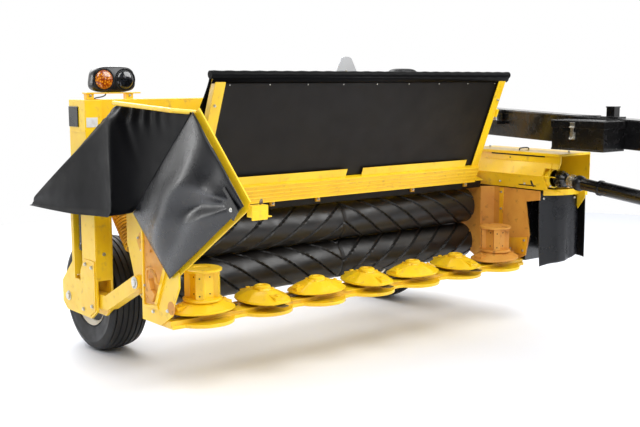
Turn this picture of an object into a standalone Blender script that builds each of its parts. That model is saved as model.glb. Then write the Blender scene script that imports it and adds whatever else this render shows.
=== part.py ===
"""Pull-type disc mower conditioner, standing on its two wheels and its jack, with the header raised.

Metres, +Z up. The machine faces -Y, its left side is +X. Places are written with X = 0 at the header's
middle, Y = 0 at the wheel axles and Z = 0 on the ground, and the root empty moves the whole machine so
that the middle of its footprint stands over the world origin.
"""
import math

import bmesh
import bpy
from mathutils import Matrix, Vector

# ---- driving dimensions -------------------------------------------------------------------------
GAP = 0.0003                 # between faces that touch
DISC_COUNT = 7
DISC_PITCH = 0.40
DISC_LINE_Y = -1.15
DISC_LONG = 0.19             # half of the oval disc's long axis
DISC_SHORT = 0.145
BLADE_REACH = 0.225          # blade tip from the disc's axis
BLADE_THICK = 0.005
DISC_RIM_Z = 0.468
DISC_RISE = 0.056
TURRET_TOP_Z = 0.696         # lid of the drum over each end disc
BAR_TOP_Z = 0.440            # cutterbar gear case
BAR_BOTTOM_Z = 0.412
SKID_BOTTOM_Z = 0.398

PLATE_X = 1.44               # middle of the front part of a header end plate
PLATE_STEP_X = 1.345         # middle of its rear part, inside the lift link
PLATE_THICK = 0.010
PLATE_REAR_Y = -0.59

ROLL_RADIUS = 0.125
ROLL_HALF = 1.25
ROLL_SHAFT = 0.025
ROLL_UPPER = (-0.785, 0.802)
ROLL_LOWER = (-0.770, 0.545)

WHEEL_X = 1.195
TYRE_RADIUS = 0.365
TYRE_HALF = 0.125
RIM_RADIUS = 0.19
SPINDLE_RADIUS = 0.030
RUN_GAP = 0.0005             # between a pin or spindle and its bore

LEG_X = 1.39
LEG_HALF = 0.055
LEG_TOP_FRONT_Y = -0.30      # front face of the leg beside the beam
BEAM_TOP_Z = 1.585
BEAM_BOTTOM_Z = 1.410
BEAM_Y = -0.195              # middle of the cross beam, ahead of the axles
BEAM_HALF_Y = 0.085

LINK_PIVOT = (0.0, 0.375)    # Y and Z of the lower lift links' hinge
LINK_EYE = (-0.822, 0.588)   # Y and Z of their front eyes at rest
LINK_PIN = (-0.146, 0.409)   # Y and Z of the lift cylinders' eyes at rest
CYLINDER_TOP_Z = 1.19
LINK_HALF_X = 0.035
FORK_GAP = 0.005             # between a link's flanks and the plates of its fork
UPPER_PIVOT = (-0.04, 1.11)

SHIELD_HINGE = (-0.945, 1.02)
SHIELD_LEAN = math.radians(21.5)
SHIELD_HALF = 1.157
SHIELD_LONG = 0.745

TONGUE_PIVOT = (1.54, -0.50)
TONGUE_HALF_X = 0.075
TONGUE_HALF_Z = 0.095
TONGUE_REAR_Z = 1.410
TONGUE_BEND = (-3.00, 1.315)
TONGUE_KNEE = (-3.75, 0.92)
TONGUE_TIP = (-4.22, 0.50)

INPUT = (1.46, -1.51, 1.03)  # middle of the driveline's rear joint
FRONT_JOINT = (1.36, -3.70, 0.80)
JOINT_RADIUS = 0.055
DRIVELINE_LENGTH = 2.13

COVER_X = 1.73               # outer face of the drive cover
COVER_TOP = 1.20
COVER_WALL = 0.005
LEFT_EDGE_X = COVER_X + 0.0363
CURTAIN_X = -1.540           # outer face of the right side curtain
CURTAIN_THICK = 0.008
CURTAIN_REAR_Y = 0.395

# Places where pieces meet. Pairs are Y and Z, or X and Y for the flap's line.
SWING_FRAME = (0.80, -0.340, 1.435)
SWING_TONGUE = (1.418, -0.95, 1.435)
SWING_EYE = 0.027
JACK_Y = -3.50
HITCH_REACH = 0.25           # from the tongue's tip to the front of the clevis
LAMP_X = 1.215
LAMP_Z = 1.626
SIGN_X = 0.75
SIGN_TOP = 1.865
SIGN_STAND = 0.030           # from the beam's rear face to the sign
HINGE_PLACES = (-0.95, 0.0, 0.95)
KNUCKLE_HALF = 0.05
KNUCKLE_RADIUS = 0.014
SWATH_HINGE = (-0.34, 0.900)
END_TOP = (-1.50, 1.550)
END_CORNER = (-1.925, 1.130)
END_FOOT = (-1.255, 0.690)
END_CORNER_REAR = (-0.86, 0.985)
RAIL_END = (-0.782, 1.579)
FLAP_LINE = [(1.4510, -1.372), (1.52, -1.425), (1.61, -1.455), (1.70, -1.462), (1.724, -1.461)]

COLLECTION = "disc_mower_conditioner"


# ---- building blocks ----------------------------------------------------------------------------
def clear_scene():
    for thing in list(bpy.data.objects):
        bpy.data.objects.remove(thing, do_unlink=True)


def new_collection(name, hidden=False):
    collection = bpy.data.collections.new(name)
    bpy.context.scene.collection.children.link(collection)
    collection.hide_render = hidden
    return collection


def linear(value):
    return value / 12.92 if value <= 0.04045 else ((value + 0.055) / 1.055) ** 2.4


def paint(name, hexcode, roughness, metallic=0.0):
    material = bpy.data.materials.new(name)
    material.use_nodes = True
    shader = material.node_tree.nodes["Principled BSDF"]
    parts = [int(hexcode[i:i + 2], 16) / 255 for i in (0, 2, 4)]
    shader.inputs["Base Color"].default_value = (*[linear(part) for part in parts], 1)
    shader.inputs["Roughness"].default_value = roughness
    shader.inputs["Metallic"].default_value = metallic
    return material


def named(name, data):
    thing = bpy.data.objects.new(name, data)
    PARTS.objects.link(thing)
    return thing


def block(name, low, high):
    """A box between two corners, with its origin at its middle."""
    low, high = Vector(low), Vector(high)
    mesh = bpy.data.meshes.new(name)
    shape = bmesh.new()
    bmesh.ops.create_cube(shape, size=1)
    bmesh.ops.scale(shape, vec=high - low, verts=shape.verts)
    shape.to_mesh(mesh)
    shape.free()
    thing = named(name, mesh)
    thing.location = (low + high) / 2
    return thing


def rod(name, start, end, radius, sides=24, end_radius=None):
    """A round bar, or a cone, from start to end."""
    start, end = Vector(start), Vector(end)
    mesh = bpy.data.meshes.new(name)
    shape = bmesh.new()
    bmesh.ops.create_cone(shape, cap_ends=True, segments=sides, radius1=radius,
                          radius2=radius if end_radius is None else end_radius,
                          depth=(end - start).length)
    shape.to_mesh(mesh)
    shape.free()
    thing = named(name, mesh)
    thing.matrix_basis = (Matrix.Translation((start + end) / 2)
                          @ (end - start).to_track_quat("Z", "Y").to_matrix().to_4x4())
    return thing


def meshed(thing):
    """The same object as a mesh with its caps welded, so that a Boolean can use it."""
    bpy.context.view_layer.update()
    graph = bpy.context.evaluated_depsgraph_get()
    mesh = bpy.data.meshes.new_from_object(thing.evaluated_get(graph))
    shape = bmesh.new()
    shape.from_mesh(mesh)
    bmesh.ops.remove_doubles(shape, verts=shape.verts, dist=1e-5)
    bmesh.ops.recalc_face_normals(shape, faces=shape.faces)
    shape.to_mesh(mesh)
    shape.free()
    name, basis = thing.name, thing.matrix_basis.copy()
    bpy.data.objects.remove(thing, do_unlink=True)
    whole = named(name, mesh)
    whole.matrix_basis = basis
    return whole


# A flat outline lies in one of these planes and is as thick as `span` along the remaining axis.
PLANES = {
    "YZ": Matrix.Rotation(math.pi / 2, 4, "Z") @ Matrix.Rotation(math.pi / 2, 4, "X"),
    "XY": Matrix.Identity(4),
    "XZ": Matrix.Rotation(math.pi / 2, 4, "X"),
}


def flat(name, outline, plane, span):
    """A plate cut to an outline of 2D points, between the two values of span on its third axis."""
    curve = bpy.data.curves.new(name, "CURVE")
    curve.dimensions = "2D"
    curve.fill_mode = "BOTH"
    curve.extrude = (span[1] - span[0]) / 2
    line = curve.splines.new("POLY")
    line.points.add(len(outline) - 1)
    for point, (u, v) in zip(line.points, outline):
        point.co = (u, v, 0, 1)
    line.use_cyclic_u = True
    middle = (span[0] + span[1]) / 2
    thing = named(name, curve)
    axis = {"YZ": (middle, 0, 0), "XY": (0, 0, middle), "XZ": (0, middle, 0)}[plane]
    thing.matrix_basis = Matrix.Translation(axis) @ PLANES[plane]
    return meshed(thing)


def arc(centre, radius, start, end, steps):
    """Points round a centre, from one angle to another in degrees."""
    angles = [math.radians(start + (end - start) * i / steps) for i in range(steps + 1)]
    return [(centre[0] + radius * math.cos(a), centre[1] + radius * math.sin(a)) for a in angles]


def strip(points, half, round_ends=False):
    """The outline of a band of even width along a line of points, with round or square ends."""
    points = [Vector(point) for point in points]
    sides = {1: [], -1: []}
    for i, point in enumerate(points):
        before = (point - points[i - 1]).normalized() if i else None
        after = (points[i + 1] - point).normalized() if i < len(points) - 1 else None
        along = ((before or after) + (after or before)).normalized()
        normal = Vector((-along.y, along.x))
        straight = before or after
        reach = half / max(normal.dot(Vector((-straight.y, straight.x))), 0.3)
        for side in sides:
            sides[side].append(tuple(point + side * reach * normal))
    left, right = sides[1], sides[-1][::-1]
    if not round_ends:
        return left + right
    first = math.degrees(math.atan2(*(points[1] - points[0]).yx))
    last = math.degrees(math.atan2(*(points[-1] - points[-2]).yx))
    front = arc(points[-1], half, last + 90, last - 90, 8)
    back = arc(points[0], half, first - 90, first - 270, 8)
    return left[1:-1] + front + right[1:-1] + back


def turned(name, profile, centre, axis, steps=40):
    """A profile of (radius, height) points turned about an axis. A closed profile gives a ring."""
    on_axis = profile[0][0] == 0
    mesh = bpy.data.meshes.new(name)
    count = len(profile)
    edges = [(i, i + 1) for i in range(count - 1)] + ([] if on_axis else [(count - 1, 0)])
    mesh.from_pydata([(radius, 0, height) for radius, height in profile], edges, [])
    thing = named(name, mesh)
    screw = thing.modifiers.new("turn", "SCREW")
    screw.steps = steps
    screw.render_steps = steps
    screw.use_merge_vertices = True
    screw.merge_threshold = 0.0001
    screw.use_smooth_shade = False
    spin = {"X": Matrix.Rotation(math.pi / 2, 4, "Y"), "Y": Matrix.Rotation(-math.pi / 2, 4, "X"),
            "Z": Matrix.Identity(4)}[axis]
    thing.matrix_basis = Matrix.Translation(centre) @ spin
    return thing


def combine(target, others, operation):
    for i, other in enumerate(others):
        for collection in list(other.users_collection):
            collection.objects.unlink(other)
        TOOLS.objects.link(other)
        other.hide_render = True
        other.display_type = "WIRE"
        modifier = target.modifiers.new(f"{operation.lower()}_{i}", "BOOLEAN")
        modifier.operation = operation
        modifier.object = other
        modifier.solver = "EXACT"
        USED.setdefault(target.name, []).append(other)
    return target


def join(target, *others):
    return combine(target, others, "UNION")


def cut(target, *others):
    return combine(target, others, "DIFFERENCE")


def keep(target, *others):
    return combine(target, others, "INTERSECT")


def baked(thing, material):
    """The object's finished mesh, for copies that share it."""
    bpy.context.view_layer.update()
    graph = bpy.context.evaluated_depsgraph_get()
    mesh = bpy.data.meshes.new_from_object(thing.evaluated_get(graph))
    mesh.materials.clear()
    mesh.materials.append(material)
    for other in USED.pop(thing.name, []):
        bpy.data.objects.remove(other, do_unlink=True)
    bpy.data.objects.remove(thing, do_unlink=True)
    return mesh


def swung(things, about, axis, angle):
    """Turns pieces about a point, before they are hung on their body."""
    turn = Matrix.Translation(about) @ Matrix.Rotation(angle, 4, axis) @ Matrix.Translation(-Vector(about))
    for thing in things:
        for each in [thing] + USED.get(thing.name, []):
            each.matrix_basis = turn @ each.matrix_basis


def body(name, at, parent=None):
    """An empty on a joint's axis, which carries the pieces that move with that joint."""
    empty = bpy.data.objects.new(name, None)
    empty.empty_display_size = 0.1
    PARTS.objects.link(empty)
    BODY_AT[name] = Vector(at)
    if parent:
        empty.parent = bpy.data.objects[parent]
        empty.location = BODY_AT[name] - BODY_AT[parent]
    return empty


def hang(owner, *things, material=None):
    """Parents pieces, and the shapes that cut or join them, to a body's empty."""
    for thing in things:
        if material:
            thing.data.materials.append(material)
        for each in [thing] + USED.get(thing.name, []):
            each.parent = bpy.data.objects[owner]
            each.location = each.location - BODY_AT[owner]


def side_name(stem, side):
    return f"{stem}_{'left' if side > 0 else 'right'}"


def across(side, near, far):
    """An X span given outwards from the middle, on either side."""
    return tuple(sorted((side * near, side * far)))


def side_block(name, side, near, far, low, high):
    x = across(side, near, far)
    return block(name, (x[0], *low), (x[1], *high))


# ---- frame --------------------------------------------------------------------------------------
def frame_beam():
    half = LEG_X - LEG_HALF - GAP
    front, rear = BEAM_Y - BEAM_HALF_Y, BEAM_Y + BEAM_HALF_Y
    beam = block("frame_beam", (-half, front, BEAM_BOTTOM_Z), (half, rear, BEAM_TOP_Z))
    y, z = UPPER_PIVOT
    fork = block("fork", (-0.06, rear - 0.13, z - 0.05), (0.06, y + 0.07, BEAM_BOTTOM_Z + 0.05))
    slot = block("slot", (-0.035 - FORK_GAP, front - 0.2, z - 0.10), (0.035 + FORK_GAP, y + 0.20, z + 0.09))
    x, y, z = SWING_FRAME
    ear = block("ear", (x - 0.05, y - 0.035, z - 0.055), (x + 0.05, front + 0.02, z + 0.055))
    ear_slot = block("ear_slot", (x - 0.10, y - 0.10, z - 0.0305), (x + 0.10, front - 0.012, z + 0.0305))
    join(beam, fork)
    cut(beam, slot)
    join(beam, ear)
    cut(beam, ear_slot)
    join(beam, sign_post(), *lamp_bracket(-1), *lamp_bracket(1))
    hang("frame", beam, material=YELLOW)


def leg(side):
    """A tall box leg, forked at its foot for the lift link, with a window for the lift cylinder behind."""
    top = LEG_TOP_FRONT_Y
    outline = [(top, BEAM_TOP_Z), (-0.09, BEAM_TOP_Z), (-0.09, 1.25), (-0.06, 1.20), (-0.06, 0.60), (0.09, 0.46),
               (0.09, 0.33), (0.03, 0.285), (-0.30, 0.285), (-0.377, 0.34), (-0.377, 1.05), (top, 1.24)]
    post = flat(side_name("leg", side), outline, "YZ", across(side, LEG_X - LEG_HALF, LEG_X + LEG_HALF))
    reach = LINK_HALF_X + FORK_GAP
    slot = side_block("fork", side, LEG_X - reach, LEG_X + reach, (-0.5, 0.2), (0.065, 0.52))
    room = 0.053
    window = side_block("window", side, LEG_X - 0.1, LEG_X + 0.1, (LINK_PIN[0] - room, 0.50),
                        (LINK_PIN[0] + room, CYLINDER_TOP_Z))
    hang("frame", cut(post, slot, window), material=YELLOW)


def spindle(side):
    """The stub axle that carries a wheel, with its nut."""
    inner = LEG_X - LEG_HALF - GAP
    axle = rod(side_name("spindle", side), (side * (WHEEL_X - 0.085), 0, TYRE_RADIUS),
               (side * inner, 0, TYRE_RADIUS), SPINDLE_RADIUS)
    flange = rod("flange", (side * (inner - 0.012), 0, TYRE_RADIUS), (side * inner, 0, TYRE_RADIUS), 0.055)
    nut = rod("nut", (side * (WHEEL_X - 0.085), 0, TYRE_RADIUS), (side * (WHEEL_X - 0.0615), 0, TYRE_RADIUS),
              0.042, sides=6)
    join(axle, flange, nut)
    hang("frame", axle, material=STEEL)


def lift_cylinder(side):
    x, y = side * LEG_X, LINK_PIN[0]
    barrel = rod(side_name("lift_cylinder", side), (x, y, 0.68), (x, y, CYLINDER_TOP_Z - GAP), 0.040)
    bore = rod("bore", (x, y, 0.60), (x, y, 0.90), 0.0205)
    hang("frame", cut(barrel, bore), material=BLACK)


def lamp_bracket(side):
    """Two feet on the beam and the rail across them."""
    middle = side * LAMP_X
    feet = []
    for x, low in ((side * (LAMP_X + 0.15), BEAM_TOP_Z + GAP), (side * (LAMP_X - 0.11), BEAM_TOP_Z - 0.02)):
        feet.append(block("foot", (x - 0.024, BEAM_Y - 0.02, low), (x + 0.024, BEAM_Y + 0.02, LAMP_Z - 0.004)))
    rail = block("rail", (middle - 0.18, BEAM_Y - 0.03, LAMP_Z - 0.008), (middle + 0.18, BEAM_Y + 0.03, LAMP_Z))
    return feet + [rail]


def lamp(side):
    """The housing of the twin warning lamp, seated on its bracket."""
    half, seat = 0.15, LAMP_Z + GAP
    outline = [(-half, 0), (half, 0), (half, 0.07), (half - 0.02, 0.135), (0.06, 0.155), (-0.06, 0.155),
               (-half + 0.02, 0.135), (-half, 0.07)]
    housing = flat(side_name("lamp", side), [(side * LAMP_X + u, seat + v) for u, v in outline], "XZ",
                   (BEAM_Y - 0.04, BEAM_Y + 0.04))
    hang("frame", housing, material=BLACK)


def sign_post():
    """The flat post behind the beam that carries the slow-vehicle sign."""
    rear = BEAM_Y + BEAM_HALF_Y
    return block("sign_post", (SIGN_X - 0.02, rear - 0.01, BEAM_BOTTOM_Z + 0.02),
                 (SIGN_X + 0.02, rear + SIGN_STAND, SIGN_TOP - 0.12))


def warning_sign():
    """The slow-vehicle triangle, with its corners cut off."""
    x, top = SIGN_X, SIGN_TOP
    seat = BEAM_Y + BEAM_HALF_Y + SIGN_STAND + GAP
    outline = [(x - 0.20, top - 0.35), (x + 0.20, top - 0.35), (x + 0.215, top - 0.32), (x + 0.05, top - 0.01),
               (x + 0.03, top), (x - 0.03, top), (x - 0.05, top - 0.01), (x - 0.215, top - 0.32)]
    sign = flat("warning_sign", outline, "XZ", (seat, seat + 0.004))
    hang("frame", sign, material=GREY)


def float_spring(side):
    """The coil spring that carries part of the header's weight, and its hooks."""
    x = side * 1.22
    top, low = Vector((x, -0.130, 1.040)), Vector((x, -0.480, 0.655))
    along = (low - top).normalized()
    coil = rod(side_name("float_spring", side), top + along * 0.10, low - along * 0.09, 0.055)
    core = rod("core", top, low, 0.014)
    arm = block("arm", (x - 0.03, top.y - 0.06, top.z - 0.025), (x + 0.03, top.y + 0.02, top.z + 0.025))
    riser = block("riser", (x - 0.03, top.y - 0.06, top.z), (x + 0.03, top.y, BEAM_BOTTOM_Z - GAP))
    join(coil, core, arm, riser)
    hang("frame", coil, material=YELLOW)


def tongue_bracket():
    """The clevis on the left leg that holds the tongue's hinge pin."""
    x, y = TONGUE_PIVOT
    face = LEG_TOP_FRONT_Y - GAP
    top = TONGUE_REAR_Z + TONGUE_HALF_Z + 0.012
    low = TONGUE_REAR_Z - TONGUE_HALF_Z - 0.012
    web = block("tongue_bracket", (LEG_X - 0.04, face - 0.05, low - 0.03), (x + 0.09, face, top + 0.025))
    plates = []
    for near, far in ((top, top + 0.02), (low - 0.02, low)):
        outline = [(x - 0.09, face - 0.02), (x - 0.09, y)] + arc((x, y), 0.09, 180, 360, 10)[1:]
        outline += [(x + 0.09, face - 0.02)]
        plates.append(flat("plate", outline, "XY", (near, far)))
    join(web, *plates)
    hang("frame", web, material=YELLOW)


def wheel(side):
    name = side_name("wheel", side)
    body(name, (side * WHEEL_X, 0, TYRE_RADIUS), "frame")
    bore, hub, web, inner = SPINDLE_RADIUS + RUN_GAP, 0.060, 0.006, RIM_RADIUS - 0.018
    flange = TYRE_HALF - 0.022
    rim = [(bore, -0.06), (bore, 0.06), (hub, 0.06), (hub, web), (inner, web), (inner, flange - 0.01),
           (RIM_RADIUS, flange), (RIM_RADIUS, -flange), (inner, 0.01 - flange), (inner, -web), (hub, -web),
           (hub, -0.06)]
    seat, crown = RIM_RADIUS + GAP, TYRE_RADIUS
    half = [(seat, TYRE_HALF - 0.035), (seat + 0.04, TYRE_HALF - 0.011), (seat + 0.09, TYRE_HALF),
            (crown - 0.040, TYRE_HALF - 0.006), (crown - 0.010, TYRE_HALF - 0.030), (crown, TYRE_HALF - 0.075)]
    tread = half + [(radius, -height) for radius, height in reversed(half)]
    at = (side * WHEEL_X, 0, TYRE_RADIUS)
    hang(name, turned(side_name("rim", side), rim, at, "X"), material=WHITE)
    hang(name, turned(side_name("tyre", side), tread, at, "X"), material=RUBBER)


# ---- lift linkage -------------------------------------------------------------------------------
def lower_link(side):
    """A bent arm from the leg's foot to the header, with a pocket for the lift cylinder's eye."""
    line = [LINK_PIVOT, (-0.46, 0.405), LINK_EYE]
    x = across(side, LEG_X - LINK_HALF_X, LEG_X + LINK_HALF_X)
    arm = flat(side_name("lower_link", side), strip(line, 0.042, True), "YZ", x)
    reach = LINK_HALF_X + FORK_GAP - GAP
    boss = rod("boss", (side * (LEG_X - reach), *LINK_PIVOT), (side * (LEG_X + reach), *LINK_PIVOT), 0.050)
    eye = rod("eye", (side * (PLATE_STEP_X + PLATE_THICK / 2 + GAP), *LINK_EYE),
              (side * (LEG_X + LINK_HALF_X + 0.01), *LINK_EYE), 0.034)
    pocket = side_block("pocket", side, LEG_X - 0.0225, LEG_X + 0.0225, (LINK_PIN[0] - 0.045, LINK_PIN[1] - 0.042),
                        (LINK_PIN[0] + 0.045, 0.5))
    join(cut(arm, pocket), boss, eye)
    hang("lift_links", arm, material=YELLOW)


def lift_rod(side):
    x, y = side * LEG_X, LINK_PIN[0]
    bar = rod(side_name("lift_rod", side), (x, y, LINK_PIN[1]), (x, y, 0.80), 0.020)
    eye = rod("eye", (x - 0.017, *LINK_PIN), (x + 0.017, *LINK_PIN), 0.030)
    hang("lift_rods", join(bar, eye), material=STEEL)


def upper_link():
    line = [UPPER_PIVOT, upper_eye()]
    bar = flat("upper_link", strip(line, 0.030, True), "YZ", (-0.030, 0.030))
    bosses = [rod("boss", (-0.035 - FORK_GAP + GAP, *at), (0.035 + FORK_GAP - GAP, *at), 0.035) for at in line]
    hang("upper_link_axis", join(bar, *bosses), material=YELLOW)


def upper_eye():
    return (UPPER_PIVOT[0] + LINK_EYE[0] - LINK_PIVOT[0], UPPER_PIVOT[1] + LINK_EYE[1] - LINK_PIVOT[1])


# ---- header -------------------------------------------------------------------------------------
def end_plate(side):
    """A plate folded round the lift link: its front part stands further out than its rear part."""
    plan = [(side * PLATE_X, -1.36), (side * PLATE_X, -0.93), (side * PLATE_STEP_X, -0.885),
            (side * PLATE_STEP_X, PLATE_REAR_Y)]
    wall = flat(side_name("end_plate", side), strip(plan, PLATE_THICK / 2), "XY", (0.30, 1.10))
    outline = [(PLATE_REAR_Y, 0.78), (PLATE_REAR_Y, 0.975)]
    if side > 0:
        outline += [(-0.85, 0.980), (-0.86, 0.938), (-1.34, 0.935), (-1.34, 0.87), (-1.22, 0.85), (-1.26, 0.62)]
    else:
        outline += [(-0.90, 0.985), (-1.10, 0.90), (-1.315, 0.72), (-1.315, 0.64), (-1.26, 0.54)]
    outline += [(-1.23, 0.47), (-1.12, 0.405), (-0.88, 0.405), (-0.70, 0.50)]
    shape = flat("shape", outline, "YZ", across(side, 1.2, 1.6))
    hang("header", keep(wall, shape), material=YELLOW)


def disc_x(i):
    return (i - (DISC_COUNT - 1) / 2) * DISC_PITCH


def cutterbar():
    """The gear case and, below it, the skid shoes that run forward under each disc."""
    reach = PLATE_X - PLATE_THICK / 2 - GAP
    rear, front = -1.02, DISC_LINE_Y - 0.06
    case = block("cutterbar", (-reach, front, BAR_BOTTOM_Z), (reach, rear, BAR_TOP_Z))
    end = reach - 0.004
    outline = [(-end, rear + 0.02), (-end, front - 0.012)]
    for i in range(DISC_COUNT):
        outline += arc((disc_x(i), DISC_LINE_Y), 0.175, 206, 334, 12)
        if i < DISC_COUNT - 1:
            outline.append((disc_x(i + 0.5), front - 0.010))
    outline += [(end, front - 0.012), (end, rear + 0.02)]
    skid = flat("skid", outline, "XY", (SKID_BOTTOM_Z, BAR_BOTTOM_Z + 0.006))
    hang("header", join(case, skid), material=YELLOW)


def disc_mesh(turret):
    """One cutting disc: an oval dome with its hub, two blades and, at the ends, a turret drum."""
    top = DISC_RIM_Z + DISC_RISE
    dome = rod("dome", (0, 0, DISC_RIM_Z), (0, 0, top), DISC_LONG, end_radius=0.085, sides=32)
    rim = rod("rim", (0, 0, DISC_RIM_Z), (0, 0, DISC_RIM_Z + 0.006), DISC_LONG + 0.002, sides=32)
    for oval in (dome, rim):
        oval.data.transform(Matrix.Scale(DISC_SHORT / DISC_LONG, 4, (0, 1, 0)))
    neck = rod("neck", (0, 0, BAR_TOP_Z + GAP), (0, 0, DISC_RIM_Z + 0.01), 0.050)
    others = [rim, neck]
    for end in (-1, 1):
        pin = end * (DISC_LONG - 0.025)
        others.append(rod("pin", (pin, 0, DISC_RIM_Z - 0.014), (pin, 0, DISC_RIM_Z + 0.003), 0.012, sides=12))
        tip = across(end, DISC_LONG - 0.045, BLADE_REACH)
        low = DISC_RIM_Z - 0.008 - BLADE_THICK
        others.append(block("blade", (tip[0], -0.022, low), (tip[1], 0.022, low + BLADE_THICK)))
    if turret:
        others.append(rod("drum", (0, 0, top - 0.02), (0, 0, TURRET_TOP_Z - 0.010), 0.108, sides=24))
        others.append(rod("lid", (0, 0, TURRET_TOP_Z - 0.013), (0, 0, TURRET_TOP_Z), 0.122, sides=32))
    else:
        others.append(rod("cap", (0, 0, top - 0.01), (0, 0, top + 0.022), 0.045, end_radius=0.036, sides=16))
    mesh = baked(join(dome, *others), YELLOW)
    mesh.transform(Matrix.Translation((0, 0, DISC_RISE / 2)))
    return mesh


def discs():
    plain, turret = disc_mesh(False), disc_mesh(True)
    for i in range(DISC_COUNT):
        name = f"disc_{i + 1}"
        at = Vector((disc_x(i), DISC_LINE_Y, DISC_RIM_Z))
        body(f"{name}_axis", at, "header")
        disc = named(name, turret if i in (0, DISC_COUNT - 1) else plain)
        disc.location = at
        disc.rotation_euler = (0, 0, math.pi / 2 * (i % 2))
        hang(f"{name}_axis", disc)


def roll(name, at):
    centre = (0, *at)
    body(f"{name}_axis", centre, "header")
    ends = PLATE_STEP_X - PLATE_THICK / 2 - GAP
    profile = [(0, ends), (ROLL_SHAFT, ends), (ROLL_SHAFT, ROLL_HALF), (ROLL_RADIUS, ROLL_HALF)]
    profile += [(radius, -height) for radius, height in reversed(profile)]
    hang(f"{name}_axis", turned(name, profile, centre, "X", steps=32), material=RUBBER)


def header_beam():
    """The cross tube that ties the end plates together, with the mast of the upper link."""
    reach = PLATE_STEP_X - PLATE_THICK / 2 - GAP
    beam = block("header_beam", (-reach, -0.62, 0.945), (reach, -0.50, 1.045))
    y, z = upper_eye()
    mast = flat("mast", [(-0.52, 1.02), (-0.54, 1.10), (y + 0.045, z + 0.045), (y - 0.035, z + 0.045),
                         (y - 0.035, z - 0.05), (-0.60, 1.02)], "YZ", (-0.06, 0.06))
    fall = (UPPER_PIVOT[1] - z) / (UPPER_PIVOT[0] - y)
    slot = flat("slot", strip([(y - 0.12, z - 0.12 * fall), (y + 0.50, z + 0.50 * fall)], 0.055), "YZ",
                (-0.035 - FORK_GAP, 0.035 + FORK_GAP))
    hang("header", cut(join(beam, mast), slot), material=YELLOW)


def hood():
    """The deck over the rolls, with the shield's hinge lugs along its front edge."""
    reach = PLATE_STEP_X - PLATE_THICK / 2 - GAP
    y, z = SHIELD_HINGE
    line = [(y + 0.04, z - 0.035), (-0.80, z - 0.004), (-0.6205, z - 0.010)]
    deck = flat("hood", strip(line, 0.003), "YZ", (-reach, reach))
    lugs = []
    for x in HINGE_PLACES:
        for end in (-1, 1):
            near = x + end * (KNUCKLE_HALF + GAP)
            low, high = sorted((near, near + end * 0.02))
            lugs.append(flat("lug", strip([(y, z), (y + 0.07, z - 0.022)], KNUCKLE_RADIUS, True), "YZ",
                             (low, high)))
    hang("header", join(deck, *lugs), material=YELLOW)


def rear_chute():
    """The tunnel that passes the crop back between the wheels."""
    half, low, top = 0.97, 0.58, 0.945 - GAP - 0.003
    line = [(-half, low), (-half, top), (half, top), (half, low)]
    chute = flat("rear_chute", strip(line, 0.003), "XZ", (-0.60, 0.10))
    hang("header", chute, material=YELLOW)


def swathboard():
    """The board in the tunnel that spreads the crop or throws it down, on a hinge under the roof."""
    y, z, half = SWATH_HINGE[0], SWATH_HINGE[1], 0.955
    body("swathboard_axis", (0, y, z), "header")
    line = [(y, z), (y + 0.30, z - 0.20), (y + 0.36, z - 0.26)]
    board = flat("swathboard", strip(line, 0.003), "YZ", (-half, half))
    pin = rod("pin", (-half - 0.0117, y, z), (half + 0.0117, y, z), 0.012, sides=16)
    hang("swathboard_axis", join(board, pin), material=YELLOW)


def end_frame():
    """The bars at the right end that hold the corner flap and the side curtain up."""
    inner = -(PLATE_X - PLATE_THICK / 2 - GAP)
    span = (inner, inner + 0.008)
    bar = flat("end_frame_right", strip([END_TOP, END_CORNER], 0.024), "YZ", span)
    strut = flat("strut", strip([END_CORNER, END_FOOT], 0.017), "YZ", span)
    shelf = block("shelf", (inner + 0.002, END_CORNER[0] - 0.03, END_CORNER[1] - 0.055),
                  (inner + 0.09, END_CORNER[0] + 0.012, END_CORNER[1]))
    rail = tube("rail", [(inner + 0.004, END_TOP[0] + 0.015, END_TOP[1] - 0.005),
                         (CURTAIN_X + CURTAIN_THICK + 0.0122, END_TOP[0] + 0.10, END_TOP[1] + 0.004),
                         (CURTAIN_X + CURTAIN_THICK + 0.0122, RAIL_END[0] - 0.02, RAIL_END[1])], 0.012)
    join(bar, strut, shelf, rail)
    hang("header", bar, material=YELLOW)


def tube(name, points, radius, resolution=2):
    curve = bpy.data.curves.new(name, "CURVE")
    curve.dimensions = "3D"
    curve.bevel_depth = radius
    curve.bevel_resolution = resolution
    curve.use_fill_caps = True
    line = curve.splines.new("POLY")
    line.points.add(len(points) - 1)
    for point, at in zip(line.points, points):
        point.co = (*at, 1)
    return meshed(named(name, curve))


def curtains():
    """The vinyl sheets at both ends, plain and thick enough to carry collision."""
    outer = -(PLATE_X + PLATE_THICK / 2 + GAP)
    flap = flat("end_flap_right", [END_TOP, END_CORNER, (END_FOOT[0] + 0.01, END_FOOT[1] - 0.01), END_CORNER_REAR],
                "YZ", (outer - 0.010, outer))
    hang("header", flap, material=VINYL)
    outline = [(END_TOP[0] + 0.03, END_TOP[1] - 0.012), (-0.973, 1.008), (-0.743, 0.961),
               (-0.304, 0.931), (CURTAIN_REAR_Y, 0.908), (0.30, 0.985), RAIL_END]
    side = flat("side_curtain_right", outline, "YZ", (CURTAIN_X, CURTAIN_X + CURTAIN_THICK))
    hang("header", side, material=VINYL)


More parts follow.
